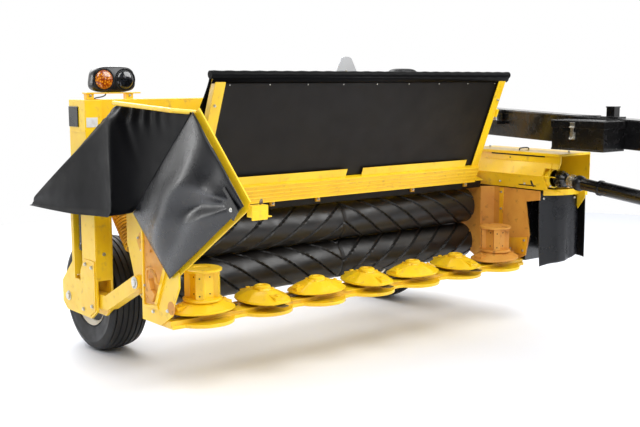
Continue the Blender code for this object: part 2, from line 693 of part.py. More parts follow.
def drive_cover():
    """The folded steel cover over the gearbox at the left end, open in front and below."""
    rear, front, wall = -0.66, INPUT[1] - 0.02, COVER_WALL
    outline = [(1.405, COVER_TOP), (1.400, 1.14), (1.352, 1.05), (1.420, 0.945)]
    inner = [(1.452, 0.90), (1.364, 1.05), (1.413, 1.138), (1.416, COVER_TOP - 2 * wall),
             (COVER_X - wall, COVER_TOP - 2 * wall), (COVER_X - wall, 0.90)]
    shell = flat("drive_cover", outline + [(COVER_X, 0.945), (COVER_X, COVER_TOP)], "XZ", (front, rear))
    hollow = flat("hollow", inner, "XZ", (front - 0.05, rear - wall))
    mouth = rod("mouth", (1.40, front - 0.05, INPUT[2]), (1.40, front + 0.11, INPUT[2]), 0.075)
    hang("header", cut(shell, hollow, mouth), material=YELLOW)


def gearbox():
    """The heavy right-angle gearbox and the drop case that takes the drive down to the cutterbar."""
    plate = PLATE_X + PLATE_THICK / 2 + GAP
    case = block("gearbox", (plate, -1.30, 0.86), (1.66, -0.98, 1.12))
    drop = block("drop", (plate, -1.22, 0.43), (1.60, -1.06, 0.90))
    stub = rod("stub", (INPUT[0] + 0.02, -1.25, INPUT[2]), (INPUT[0] + 0.02, -1.35, INPUT[2]), 0.045)
    shaft = rod("shaft", (INPUT[0], -1.30, INPUT[2]), (INPUT[0], INPUT[1] + JOINT_RADIUS + GAP, INPUT[2]),
                0.030)
    foot = block("foot", (plate, -1.25, 0.90), (COVER_X - COVER_WALL - GAP, -1.02, 0.97))
    hang("header", join(case, drop, stub, shaft, foot), material=BLACK)


def corner_flap():
    """The rubber flap that hangs in front of the drive at the left end."""
    flap = flat("corner_flap_left", strip(FLAP_LINE, 0.004), "XY", (0.415, 0.940))
    hang("header", flap, material=VINYL)


def left_frame():
    """The bracket outside the drive cover that carries the left flap and side curtain."""
    x = COVER_X + GAP
    rail = block("end_frame_left", (x, -1.50, 0.90), (x + 0.03, -0.30, 0.94))
    behind = [(u, v + 0.0131) for u, v in FLAP_LINE] + [(x + 0.01, FLAP_LINE[-1][1] + 0.0131)]
    bar = flat("bar", strip(behind, 0.006), "XY", (0.905, 0.945 - GAP))
    point = flat("point", [(-1.495, 0.93), (-1.495, 0.88), (-1.44, 0.80), (-1.40, 0.91)], "YZ",
                 (x + 0.004, x + 0.010))
    hang("header", join(rail, bar, point), material=YELLOW)
    curtain = block("side_curtain_left", (x + 0.03 + GAP, -1.48, 0.45), (LEFT_EDGE_X, -0.28, 0.935))
    hang("header", curtain, material=VINYL)


# ---- front shield -------------------------------------------------------------------------------
def shield():
    """The raised front shield. It is drawn upright on its hinge line and then leans forward."""
    y, z = SHIELD_HINGE
    about = (0, y, z)
    body("shield", about, "header")
    face = y - KNUCKLE_RADIUS - 0.006
    frame = block("shield_frame", (-SHIELD_HALF, face - 0.030, z - 0.012), (SHIELD_HALF, face, z + 0.105))
    others = []
    for end in (-1, 1):
        x = across(end, SHIELD_HALF - 0.045, SHIELD_HALF)
        others.append(block("post", (x[0], y - 0.034, z + 0.05), (x[1], y + 0.006, z + SHIELD_LONG)))
    top = z + SHIELD_LONG
    others.append(block("top_bar", (-SHIELD_HALF, y - 0.010, top - 0.04), (SHIELD_HALF, y + 0.006, top)))
    for x in HINGE_PLACES:
        others.append(rod("knuckle", (x - KNUCKLE_HALF, y, z), (x + KNUCKLE_HALF, y, z), KNUCKLE_RADIUS,
                          sides=16))
        others.append(block("leaf", (x - KNUCKLE_HALF + 0.002, face - 0.01, z - 0.010),
                            (x + KNUCKLE_HALF - 0.002, y, z + 0.010)))
    join(frame, *others)
    panel = block("shield_panel", (-SHIELD_HALF + 0.045 + GAP, y - 0.016, z + 0.105 + GAP),
                  (SHIELD_HALF - 0.045 - GAP, y - 0.0103, top - 0.002))
    edge = rod("edge", (-SHIELD_HALF - 0.03, y - 0.014, top + 0.022), (SHIELD_HALF + 0.03, y - 0.014, top + 0.022),
               0.0217, sides=20)
    line = [(y - 0.005, top + 0.036), (y + 0.0105, top + 0.014), (y + 0.0105, top - 0.05),
            (y + 0.085, top - 0.38), (y + 0.110, top - 0.50)]
    curtain = flat("front_curtain", strip(line, 0.003), "YZ", (-SHIELD_HALF - 0.015, SHIELD_HALF + 0.015))
    join(curtain, edge)
    pieces = [frame, panel, curtain]
    swung(pieces, about, "X", SHIELD_LEAN)
    hang("shield", frame, material=YELLOW)
    hang("shield", panel, curtain, material=VINYL)


# ---- tongue -------------------------------------------------------------------------------------
def tongue():
    x, y = TONGUE_PIVOT
    body("tongue", (x, y, TONGUE_REAR_Z), "frame")
    line = [(y - 0.02, TONGUE_REAR_Z), TONGUE_BEND, TONGUE_KNEE, TONGUE_TIP]
    beam = flat("tongue_beam", strip(line, TONGUE_HALF_Z), "YZ", (x - TONGUE_HALF_X, x + TONGUE_HALF_X))
    reach = TONGUE_HALF_Z + 0.012 - GAP
    boss = rod("boss", (x, y, TONGUE_REAR_Z - reach), (x, y, TONGUE_REAR_Z + reach), 0.065)
    ear = block("ear", (SWING_TONGUE[0] - 0.04, SWING_TONGUE[1] - 0.04, SWING_TONGUE[2] - 0.05),
                (x - 0.05, SWING_TONGUE[1] + 0.04, SWING_TONGUE[2] + 0.05))
    ear_slot = block("ear_slot", (SWING_TONGUE[0] - 0.10, SWING_TONGUE[1] - 0.10, SWING_TONGUE[2] - 0.028),
                     (x - TONGUE_HALF_X - 0.002, SWING_TONGUE[1] + 0.10, SWING_TONGUE[2] + 0.028))
    post = block("post", (x - 0.03, -1.86, 1.40), (x + 0.03, -1.80, 1.525))
    join(beam, boss, ear, post)
    cut(beam, ear_slot)
    hang("tongue", beam, material=BLACK)


def hitch():
    """The clevis that the tractor's drawbar pin goes through."""
    x = TONGUE_PIVOT[0]
    y, z = TONGUE_TIP
    half = 0.06
    pin = y - HITCH_REACH + half
    outline = [(x - half, y + 0.03), (x - half, pin)] + arc((x, pin), half, 180, 360, 10)[1:]
    outline += [(x + half, y + 0.03)]
    clevis = flat("hitch_clevis", outline, "XY", (z - 0.105, z + 0.005))
    slot = block("slot", (x - 0.1, pin - 0.11, z - 0.080), (x + 0.1, pin + 0.10, z - 0.020))
    hole = rod("hole", (x, pin, z - 0.2), (x, pin, z + 0.1), 0.018)
    room = flat("room", strip([TONGUE_KNEE, (y - GAP, z - GAP)], TONGUE_HALF_Z + GAP), "YZ",
                (x - 0.2, x + 0.2))
    hang("tongue", cut(clevis, slot, hole, room), material=BLACK)


def toolbox():
    x = TONGUE_PIVOT[0] - TONGUE_HALF_X - GAP
    box = block("toolbox", (1.24, -1.975, 1.250), (x, -1.575, 1.436))
    hang("tongue", box, material=BLACK)


def jack():
    x = TONGUE_PIVOT[0] + TONGUE_HALF_X + GAP
    y = JACK_Y
    middle, leg_half = x + 0.04, 0.0325
    bore_half = leg_half + RUN_GAP
    case = block("jack_tube", (x, y - 0.04, 0.55), (x + 0.08, y + 0.04, 1.24))
    bore = block("bore", (middle - bore_half, y - bore_half, 0.45), (middle + bore_half, y + bore_half, 1.20))
    hang("tongue", cut(case, bore), material=BLACK)
    body("jack", (middle, y, 0.55), "tongue")
    post = block("jack_leg", (middle - leg_half, y - leg_half, 0.006), (middle + leg_half, y + leg_half, 0.80))
    foot = block("foot", (middle - 0.10, y - 0.10, 0), (middle + 0.10, y + 0.10, 0.012))
    hang("jack", join(post, foot), material=BLACK)


def driveline():
    """The guard tubes of the driveline, aimed from the gearbox at the bearing on the tongue."""
    body("driveline_cross", INPUT, "header")
    ball = ball_joint()
    hang("driveline_cross", ball, material=BLACK)
    body("driveline", INPUT, "driveline_cross")
    collar = turned("driveline_collar", [(0, -JOINT_RADIUS - GAP), (0.036, -JOINT_RADIUS - GAP),
                                         (0.036, -0.115), (0, -0.115)], INPUT, "Y", steps=24)
    near, step, cone = 0.115 + GAP, 0.31, DRIVELINE_LENGTH - 0.13
    guard = turned("driveline_guard", [(0, -near), (0.040, -near), (0.040, -step), (0.047, -step),
                                       (0.047, -cone), (0.062, -DRIVELINE_LENGTH), (0, -DRIVELINE_LENGTH)],
                   INPUT, "Y", steps=24)
    run = Vector(FRONT_JOINT) - Vector(INPUT)
    yaw = math.atan2(run.x, -run.y)
    pitch = math.atan2(-run.z, math.hypot(run.x, run.y))
    for piece in (collar, guard):
        swung([piece], INPUT, "X", pitch)
        swung([piece], INPUT, "Z", yaw)
    hang("driveline", collar, material=STEEL)
    hang("driveline", guard, material=BLACK)


def ball_joint():
    mesh = bpy.data.meshes.new("driveline_joint")
    shape = bmesh.new()
    bmesh.ops.create_uvsphere(shape, u_segments=20, v_segments=12, radius=JOINT_RADIUS)
    shape.to_mesh(mesh)
    shape.free()
    ball = named("driveline_joint", mesh)
    ball.location = INPUT
    ball.rotation_euler = (math.pi / 2, 0, 0)
    return ball


def front_bearing():
    """The bearing block on the tongue's inner side, and the splined stub that the tractor drives."""
    x, y, z = FRONT_JOINT
    face = TONGUE_PIVOT[0] - TONGUE_HALF_X - GAP
    arm = block("front_bearing", (x - 0.07, y - 0.10, z - 0.03), (face, y - 0.02, z + 0.14))
    case = rod("case", (x, y - 0.01, z), (x, y - 0.11, z), 0.062)
    stub = rod("stub", (x, y - 0.10, z), (x, y - 0.24, z), 0.019)
    hang("tongue", join(arm, case, stub), material=BLACK)


def swing_cylinder():
    start, end = Vector(SWING_FRAME), Vector(SWING_TONGUE)
    along = (end - start).normalized()
    body("swing_cylinder", start, "frame")
    barrel = rod("swing_barrel", start + along * 0.075, start + along * 0.62, 0.038)
    neck = rod("neck", start, start + along * 0.09, 0.020, sides=12)
    eye = rod("eye", start - Vector((0, 0, 0.0302)), start + Vector((0, 0, 0.0302)), 0.035)
    bore = rod("bore", start + along * 0.10, start + along * 0.70, 0.0205)
    hang("swing_cylinder", cut(join(barrel, neck, eye), bore), material=BLACK)
    body("swing_rod", start, "swing_cylinder")
    bar = rod("swing_rod_bar", start + along * 0.38, end - along * 0.01, 0.020)
    rod_eye = rod("rod_eye", end - Vector((0, 0, 0.022)), end + Vector((0, 0, 0.022)), SWING_EYE)
    hang("swing_rod", join(bar, rod_eye), material=STEEL)


# ---- the whole machine --------------------------------------------------------------------------
def build():
    body("frame", (0, 0, 0), "mower")
    frame_beam()
    warning_sign()
    tongue_bracket()
    body("lift_links", (0, *LINK_PIVOT), "frame")
    body("lift_rods", (0, *LINK_PIN), "frame")
    body("upper_link_axis", (0, *UPPER_PIVOT), "frame")
    body("header", (0, *LINK_EYE), "lift_links")
    for side in (-1, 1):
        leg(side)
        spindle(side)
        lift_cylinder(side)
        lamp(side)
        float_spring(side)
        wheel(side)
        lower_link(side)
        lift_rod(side)
        end_plate(side)
    upper_link()
    cutterbar()
    discs()
    roll("roll_upper", ROLL_UPPER)
    roll("roll_lower", ROLL_LOWER)
    header_beam()
    hood()
    rear_chute()
    swathboard()
    end_frame()
    curtains()
    drive_cover()
    gearbox()
    corner_flap()
    left_frame()
    shield()
    tongue()
    hitch()
    toolbox()
    jack()
    front_bearing()
    driveline()
    swing_cylinder()


BODY_AT = {}
USED = {}
clear_scene()
PARTS = new_collection(COLLECTION)
TOOLS = new_collection("cutting_shapes", hidden=True)
YELLOW = paint("machine_yellow", "F2C61E", 0.35)
BLACK = paint("chassis_black", "1D1D1E", 0.40)
VINYL = paint("vinyl_black", "343438", 0.45)
RUBBER = paint("rubber", "1B1B1C", 0.65)
STEEL = paint("plain_steel", "B9BABB", 0.30, 1.0)
WHITE = paint("rim_white", "E4DFCE", 0.40)
GREY = paint("sign_back", "B5B6B8", 0.45, 0.6)
body("mower", (0, 0, 0))
build()
middle_x = (CURTAIN_X + LEFT_EDGE_X) / 2
middle_y = (TONGUE_TIP[0] - HITCH_REACH + CURTAIN_REAR_Y) / 2
bpy.data.objects["mower"].location = (-middle_x, -middle_y, 0)
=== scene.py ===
"""The disc mower conditioner as it stands parked: finishes, rubber, vinyl and fittings over the CAD frame."""

import math

import bmesh
import bpy
from mathutils import Matrix, Vector


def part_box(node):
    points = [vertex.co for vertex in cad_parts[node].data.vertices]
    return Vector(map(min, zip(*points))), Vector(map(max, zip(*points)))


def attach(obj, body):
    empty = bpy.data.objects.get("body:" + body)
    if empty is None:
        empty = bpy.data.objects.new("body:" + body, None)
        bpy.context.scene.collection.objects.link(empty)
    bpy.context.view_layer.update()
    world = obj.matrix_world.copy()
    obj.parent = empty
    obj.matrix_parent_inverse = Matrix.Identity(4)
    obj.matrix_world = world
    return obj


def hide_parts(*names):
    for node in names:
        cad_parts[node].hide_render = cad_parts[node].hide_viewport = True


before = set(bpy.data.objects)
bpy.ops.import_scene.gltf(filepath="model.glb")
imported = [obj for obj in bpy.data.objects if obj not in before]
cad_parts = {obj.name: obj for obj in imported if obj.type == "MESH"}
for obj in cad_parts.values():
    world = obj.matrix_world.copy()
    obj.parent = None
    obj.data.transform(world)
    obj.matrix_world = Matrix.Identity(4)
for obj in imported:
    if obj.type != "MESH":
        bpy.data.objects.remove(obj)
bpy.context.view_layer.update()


# ---- places -------------------------------------------------------------------------------------
# Pieces are drawn with X = 0 at the header's middle and Y = 0 at the axles. HOME carries them into the frame.
def middle(node):
    """The middle of a CAD piece's box, in the frame."""
    low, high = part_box(node)
    return (Vector(low) + Vector(high)) / 2


HOME = (middle("tyre_left") + middle("tyre_right")) / 2
HOME.z = 0


def limits(node):
    """The lowest and highest corner of a CAD piece's box, as the pieces are drawn."""
    low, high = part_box(node)
    return Vector(low) - HOME, Vector(high) - HOME


def hand(side):
    """The name of a side: 1 is the machine's left and -1 its right."""
    return "left" if side > 0 else "right"


def circle(radius, steps, start=0.0):
    """Points of a circle, as pairs."""
    return [(radius * math.cos(a),
             radius * math.sin(a)) for a in (start + math.tau * k / steps for k in range(steps))]


# ---- finishes -----------------------------------------------------------------------------------
def colour(hexcode, alpha=1.0):
    """An sRGB hex value as the linear colour that a shader takes."""
    parts = [int(hexcode[i:i + 2], 16) / 255 for i in (0, 2, 4)]
    return (*[p / 12.92 if p <= 0.04045 else ((p + 0.055) / 1.055) ** 2.4 for p in parts], alpha)


def add(tree, kind, settings=None, **inputs):
    """Adds a node, and sets or links its properties and inputs. An underscore in a name stands for a space."""
    made = tree.nodes.new(kind)
    for key, value in (settings or {}).items():
        setattr(made, key, value)
    for key, value in inputs.items():
        place = int(key[1:]) if key[0] == "i" and key[1:].isdigit() else key.replace("_", " ")
        if isinstance(value, bpy.types.NodeSocket):
            tree.links.new(value, made.inputs[place])
        else:
            made.inputs[place].default_value = value
    return made


def finish_of(name, hexcode, roughness, **sockets):
    """A Principled material with its constants on its own sockets."""
    material = bpy.data.materials.new(name)
    material.use_nodes = True
    tree = material.node_tree
    shader = tree.nodes["Principled BSDF"]
    shader.inputs["Base Color"].default_value = colour(hexcode)
    shader.inputs["Roughness"].default_value = roughness
    for key, value in sockets.items():
        shader.inputs[key.replace("_", " ")].default_value = value
    return material, tree, shader


def ramp(tree, factor, low, high, first, second):
    """Blends two colours between two values of a factor."""
    made = add(tree, "ShaderNodeValToRGB", Fac=factor)
    made.color_ramp.elements[0].position = low
    made.color_ramp.elements[0].color = first
    made.color_ramp.elements[1].position = high
    made.color_ramp.elements[1].color = second
    return made.outputs["Color"]


def mapped(tree, scale=(1, 1, 1)):
    """Object coordinates, in metres, stretched if asked."""
    place = add(tree, "ShaderNodeTexCoord").outputs["Object"]
    return add(tree, "ShaderNodeMapping", Vector=place, Scale=scale).outputs["Vector"]


def noise(tree, per_metre, detail=2.0, scale=(1, 1, 1)):
    """Noise with so many blotches to the metre."""
    return add(tree, "ShaderNodeTexNoise", Vector=mapped(tree, scale), Scale=per_metre,
               Detail=detail).outputs["Fac"]


def bump(tree, height, depth, shader):
    """Relief of a depth in metres on a shader's normal."""
    made = add(tree, "ShaderNodeBump", Height=height, Distance=depth, Strength=1.0)
    tree.links.new(made.outputs["Normal"], shader.inputs["Normal"])


def enamel(name, light, dark, dusty, roughness, coat):
    """Sprayed enamel on sheet steel: an even gloss, with the faint ripple that spray leaves and dull patches."""
    material, tree, shader = finish_of(name, light, roughness, Coat_Weight=coat, Coat_Roughness=0.12)
    patches = noise(tree, 5.0, 4.0)                     # tone drifts over about 200 mm
    tone = ramp(tree, patches, 0.38, 0.66, colour(light), colour(dark))
    dust = noise(tree, 22.0, 6.0)                       # dust film in patches of about 45 mm
    spots = ramp(tree, dust, 0.60, 0.78, (0, 0, 0, 1), (1, 1, 1, 1))
    mixed = add(tree, "ShaderNodeMixRGB", Fac=spots, Color1=tone, Color2=colour(dusty))
    tree.links.new(mixed.outputs["Color"], shader.inputs["Base Color"])
    rough = add(tree, "ShaderNodeMapRange", Value=dust, i1=0.35, i2=0.75, i3=roughness - 0.05,
                i4=roughness + 0.16)
    tree.links.new(rough.outputs["Result"], shader.inputs["Roughness"])
    bump(tree, noise(tree, 260.0, 1.0), 0.0003, shader)  # spray ripple, drawn at 4 mm so that it shows
    return material


def coated_cloth(name, light, dark, roughness, thread, gloss):
    """PVC-coated polyester: a dark soft gloss with the base cloth's threads just showing through."""
    material, tree, shader = finish_of(name, light, roughness, Specular_IOR_Level=gloss)
    tone = ramp(tree, noise(tree, 3.0, 3.0), 0.35, 0.7, colour(light), colour(dark))
    tree.links.new(tone, shader.inputs["Base Color"])
    rough = add(tree, "ShaderNodeMapRange", Value=noise(tree, 9.0, 4.0), i1=0.3, i2=0.7, i3=roughness - 0.06,
                i4=roughness + 0.08)
    tree.links.new(rough.outputs["Result"], shader.inputs["Roughness"])
    waves = [add(tree, "ShaderNodeTexWave", {"bands_direction": axis}, Vector=mapped(tree), Scale=thread,
                 Distortion=0.6).outputs["Fac"] for axis in ("Y", "Z")]
    weave = add(tree, "ShaderNodeMath", {"operation": "MAXIMUM"}, i0=waves[0], i1=waves[1]).outputs["Value"]
    bump(tree, weave, 0.0001, shader)
    return material


def moulded_rubber(name, light, dark, roughness, grain):
    """Moulded rubber: near black, dull, with the skin of its mould and grey dust where it was handled."""
    material, tree, shader = finish_of(name, dark, roughness, Specular_IOR_Level=0.45)
    tone = ramp(tree, noise(tree, 7.0, 5.0), 0.35, 0.75, colour(dark), colour(light))
    tree.links.new(tone, shader.inputs["Base Color"])
    rough = add(tree, "ShaderNodeMapRange", Value=noise(tree, 14.0, 4.0), i1=0.3, i2=0.7, i3=roughness - 0.10,
                i4=roughness + 0.10)
    tree.links.new(rough.outputs["Result"], shader.inputs["Roughness"])
    bump(tree, noise(tree, grain, 3.0), 0.0004, shader)
    return material


def bare_metal(name, hexcode, roughness, streak):
    """Bare or plated steel: metal gloss with fine rolling marks along it."""
    material, tree, shader = finish_of(name, hexcode, roughness, Metallic=1.0)
    marks = noise(tree, streak, 3.0, (1, 1, 8))
    rough = add(tree, "ShaderNodeMapRange", Value=marks, i1=0.3, i2=0.7, i3=roughness - 0.08,
                i4=roughness + 0.14)
    tree.links.new(rough.outputs["Result"], shader.inputs["Roughness"])
    bump(tree, marks, 0.0001, shader)
    return material


def lens(name, hexcode, deep, roughness, depth):
    """Moulded acrylic lamp lens: clear gloss outside, with the prisms of its inner face showing through."""
    material, tree, shader = finish_of(name, hexcode, roughness, Coat_Weight=1.0, Coat_Roughness=0.03,
                                       IOR=1.49)
    # 13 mm prisms
    cells = add(tree, "ShaderNodeTexVoronoi", Vector=mapped(tree), Scale=75.0).outputs["Distance"]
    tone = ramp(tree, cells, 0.15, 0.62, colour(hexcode), colour(deep))
    tree.links.new(tone, shader.inputs["Base Color"])
    bump(tree, cells, depth, shader)
    return material


YELLOW = enamel("yellow_enamel_on_steel", "F8CE16", "F1C012", "CFA23A", 0.36, 0.25)
# painted shade: a darker, more orange yellow for small parts that sit in shade
YELLOW_IN_SHADE = enamel("yellow_enamel_painted_shade", "EDB51A", "D9951A", "8A5524", 0.46, 0.10)
BLACK = enamel("black_enamel_on_steel", "0B0B0C", "100F0F", "1A1817", 0.20, 0.45)
# painted shade: a browner yellow for the left end plate, the left end disc and the right end's pocket, which sit
# in deep shade
YELLOW_IN_DEEP_SHADE = enamel("yellow_enamel_painted_deep_shade", "DFA040", "CD8A34", "94602A", 0.55, 0.05)
CREAM = enamel("cream_enamel_wheel_disc", "E6E0D0", "D8CFBA", "A89B82", 0.38, 0.2)
RED = enamel("fluorescent_sign_film", "F0501C", "E8481A", "D8643C", 0.42, 0.1)
DARK_RED = enamel("retroreflective_red_border", "A01218", "8E1016", "6E2020", 0.30, 0.3)
PLATE = enamel("blank_anodised_plate", "D9DBDA", "CDCFCE", "B4B2AC", 0.38, 0.1)
# painted shade: a near black brown for the shade in slots, under the discs and inside the turrets
SHADE_IN_GAPS = enamel("painted_shade_in_slots_and_gaps", "1A120A", "140E08", "2A1C10", 0.80, 0.0)
VINYL = coated_cloth("pvc_coated_polyester", "09090B", "050506", 0.36, 520.0, 0.06)
GLOSS_VINYL = coated_cloth("calendered_pvc_sheet", "111216", "0B0C0F", 0.27, 520.0, 0.60)
MATTING = coated_cloth("rubberised_shield_matting", "1A1713", "14110F", 0.50, 420.0, 0.20)
ROLL_RUBBER = moulded_rubber("vulcanised_roll_rubber", "1E1B18", "100F0E", 0.40, 90.0)
TYRE_RUBBER = moulded_rubber("tyre_rubber", "1A1A1B", "0C0C0D", 0.55, 140.0)
HOSE_RUBBER = moulded_rubber("braided_hose_cover", "1F1F20", "141415", 0.50, 300.0)
ZINC = bare_metal("zinc_plated_fastener", "C9C8C2", 0.30, 60.0)
CHROME = bare_metal("hard_chromed_rod", "D8DADC", 0.14, 20.0)
BLADE_STEEL = bare_metal("hardened_blade_steel", "6E6459", 0.42, 50.0)
SIGN_BACK = bare_metal("rolled_aluminium_sheet", "B9BBBE", 0.42, 40.0)
AMBER = lens("amber_acrylic", "F49A1E", "8E3A04", 0.10, 0.0012)
SMOKE = lens("smoked_acrylic", "23262C", "0A0B0D", 0.08, 0.0006)
HOUSING = moulded_rubber("abs_lamp_housing", "17181B", "0D0E10", 0.26, 200.0)

SLOTS = {
    "machine_yellow": (YELLOW, YELLOW_IN_SHADE, YELLOW_IN_DEEP_SHADE, SHADE_IN_GAPS),
    "chassis_black": (BLACK, HOUSING, HOSE_RUBBER, AMBER, SMOKE),
    "vinyl_black": (VINYL, GLOSS_VINYL, MATTING),
    "plain_steel": (ZINC, CHROME, BLADE_STEEL),
    "rubber": (ROLL_RUBBER,),
    "tyre": (TYRE_RUBBER,),
    "rim_white": (CREAM,),
    "sign_back": (SIGN_BACK, RED, DARK_RED, PLATE),
}
SLOT_OF = {material.name: slot for slot, group in SLOTS.items() for material in group}


# ---- mesh tools ---------------------------------------------------------------------------------
def piece(name, shape, material, body, smooth=40, edge=0.0, wall=0.0):
    """Makes a piece on its body from a bmesh. `edge` rounds its edges, and `wall` makes a sheet that thick."""
    mesh = bpy.data.meshes.new(name)
    bmesh.ops.recalc_face_normals(shape, faces=shape.faces)
    shape.to_mesh(mesh)
    shape.free()
    made = bpy.data.objects.new(name, mesh)
    bpy.context.scene.collection.objects.link(made)
    mesh.materials.append(material)
    mesh.polygons.foreach_set("use_smooth", [True] * len(mesh.polygons))
    mesh.set_sharp_from_angle(angle=math.radians(smooth))
    made.location = HOME
    if wall:
        skin = made.modifiers.new("wall", "SOLIDIFY")
        skin.thickness = wall
        skin.offset = 0
    if edge:
        rounding = made.modifiers.new("edge", "BEVEL")
        rounding.width = edge
        rounding.segments = 2
        rounding.limit_method = "ANGLE"
        rounding.angle_limit = math.radians(40)
        rounding.harden_normals = True
    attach(made, body)
    return made


def slab(shape, low, high, turn=None):
    """A flat-sided bar between two corners, turned about its middle if asked."""
    low, high = Vector(low), Vector(high)
    size, centre = high - low, (low + high) / 2
    place = Matrix.Translation(centre) @ (turn or Matrix()) @ Matrix.Diagonal((*size, 1))
    return bmesh.ops.create_cube(shape, size=1, matrix=place)["verts"]


def spin(shape, profile, at, axis, steps=32, start=0.0):
    """Turns a profile of (radius, along) points round an axis through `at`."""
    facing = Vector(axis).to_track_quat("Z", "Y").to_matrix()
    rings = []
    for radius, along in profile:
        ring = []
        for i in range(steps if radius > 1e-6 else 1):
            angle = start + math.tau * i / steps
            ring.append(shape.verts.new(Vector(at) + facing @ Vector((radius * math.cos(angle),
                                                                      radius * math.sin(angle), along))))
        rings.append(ring)
    for one, two in zip(rings, rings[1:]):
        for i in range(steps):
            a, b = one[i % len(one)], one[(i + 1) % len(one)]
            c, d = two[(i + 1) % len(two)], two[i % len(two)]
            corners = [v for k, v in enumerate((a, b, c, d)) if v not in (a, b, c, d)[:k]]
            if len(corners) > 2:
                shape.faces.new(corners)
    for ring in (rings[0], rings[-1]):
        if len(ring) > 1:
            shape.faces.new(ring)
    return rings


def bolt(shape, at, axis, width=0.019):
    """A hexagon head on its washer, with the bolt's domed end."""
    r = width / 2
    spin(shape, [(r * 1.35, 0), (r * 1.35, 0.0022), (r * 1.15, 0.0024)], at, axis, 20)
    spin(shape, [(r * 1.15, 0.0016), (r * 1.15, 0.0090), (r * 0.98, 0.0104), (0, 0.0110)], at, axis, 6, 0.3)


def rivet(shape, at, axis, radius=0.008):
    """A low domed head."""
    spin(shape,
         [(radius, 0), (radius * 0.92, radius * 0.3), (radius * 0.6, radius * 0.58), (0, radius * 0.7)],
         at, axis, 14)


def loft(shape, rings):
    """Faces between closed rings of vertices, and a cap at each end."""
    for one, two in zip(rings, rings[1:]):
        for i in range(len(one)):
            k = (i + 1) % len(one)
            shape.faces.new((one[i], one[k], two[k], two[i]))
    shape.faces.new(rings[0])
    shape.faces.new(rings[-1])


def tube(shape, points, radius, steps=12):
    """A round bar or hose along points, with flat ends."""
    points = [Vector(p) for p in points]
    side = Vector((0, 0, 1)) if abs((points[1] - points[0]).normalized().z) < 0.9 else Vector((1, 0, 0))
    rings = []
    for i, point in enumerate(points):
        along = (points[min(i + 1, len(points) - 1)] - points[max(i - 1, 0)]).normalized()
        side = (side - along * side.dot(along)).normalized()
        other = along.cross(side)
        rings.append([shape.verts.new(point + radius * (math.cos(a) * side + math.sin(a) * other))
                      for a in (math.tau * k / steps for k in range(steps))])
    loft(shape, rings)


def rounded(points, rounds=3):
    """Cuts the corners of an open line again and again, which leaves a smooth curve."""
    points = [Vector(p) for p in points]
    for _ in range(rounds):
        cut = [points[0]]
        for a, b in zip(points, points[1:]):
            cut += [a.lerp(b, 0.25), a.lerp(b, 0.75)]
        points = cut + [points[-1]]
    return points


def prism(shape, outline, plane, near, far):
    """A plate: an outline in two axes, given thickness along the third."""
    order = {"XY": (0, 1, 2), "XZ": (0, 2, 1), "YZ": (1, 2, 0)}[plane]
    rings = []
    for depth in (near, far):
        ring = []
        for u, v in outline:
            at = [0, 0, 0]
            at[order[0]], at[order[1]], at[order[2]] = u, v, depth
            ring.append(shape.verts.new(at))
        rings.append(ring)
    loft(shape, rings)


def surface(shape, rows):
    """Faces between rows of points."""
    made = [[shape.verts.new(p) for p in row] for row in rows]
    for one, two in zip(made, made[1:]):
        for i in range(len(one) - 1):
            shape.faces.new((one[i], one[i + 1], two[i + 1], two[i]))


def net(point, across, down):
    """A sheet of point(u, v), where u runs across it and v down it, both from 0 to 1."""
    shape = bmesh.new()
    surface(shape, [[point(k / across, i / down) for k in range(across + 1)] for i in range(down + 1)])
    return shape


def along(line, share):
    """The point at a share of an open line's length."""
    steps = [(b - a).length for a, b in zip(line, line[1:])]
    left = share * sum(steps)
    for (a, b), step in zip(zip(line, line[1:]), steps):
        if left <= step:
            return a.lerp(b, left / step)
        left -= step
    return line[-1].copy()


def ease(value, low, high):
    """0 below low, 1 above high, smooth between."""
    t = min(1.0, max(0.0, (value - low) / (high - low)))
    return t * t * (3 - 2 * t)


def hump(value, centre, width):
    """1 at the centre, falling off smoothly over a width to either side."""
    return math.exp(-((value - centre) / width) ** 2)


# ---- right end: side curtain and corner flap ----------------------------------------------------
FLAP_X = -1.4515
FLAP_TOP, FLAP_NOSE, FLAP_TOE = (-1.500, 1.550), (-1.925, 1.130), (-1.245, 0.680)
FLAP_REAR = (-0.870, 0.985)
CURTAIN_TOP = [FLAP_TOP, (-0.782, 1.579), (0.30, 0.985)]
CURTAIN_FOOT = [(-0.885, 0.990), (-0.743, 0.955), (-0.304, 0.925), (0.395, 0.905)]
CREASE_Y = -0.80                                                                # below the end of the rail


def curtain_point(u, v, top, foot):
    """A point of the side curtain: u runs back from its front edge, v down from its top edge."""
    at = along(top, u).lerp(along(foot, u), v)
    front = FLAP_TOP[0] + (FLAP_TOP[1] - at.y) * (FLAP_REAR[0] - FLAP_TOP[0]) / (FLAP_TOP[1] - FLAP_REAR[1])
    share = min(1.0, max(0.0, (at.x - front) / (CREASE_Y - front))) if front < CREASE_Y - 0.01 else 1.0
    behind = max(0.0, at.x - CREASE_Y)
    deep = ease(v, 0.0, 0.16)
    x = FLAP_X - 0.006 - 0.092 * share ** 3.2 * (0.30 + 0.70 * deep)              # hollow ahead of the crease
    x += 0.050 * (1 - math.exp(-behind / 0.14)) * deep - 0.026 * math.sin(min(1,
                                                                              behind / 1.2) * math.pi) * deep
    gather = hump(v, 0.02, 0.13) * ease(v, 0.0, 0.03)
    x += 0.012 * gather * math.sin(at.x * 62 + 6 * v) * hump(at.x, -0.98, 0.24)
    x += 0.010 * hump(at.x + 0.22 * v, -0.86, 0.028) * hump(v, 0.20, 0.20)
    x += 0.004 * math.sin(9 * u + 7 * v) * math.sin(math.pi * v)
    sag = 0.010 * (math.sin(at.x * 26) ** 2) * hump(v, 0.0, 0.10) if u < 0.5 else 0
    hem = -0.012 * ease(v, 0.94, 1.0)
    return Vector((x + hem, at.x, at.y - sag))


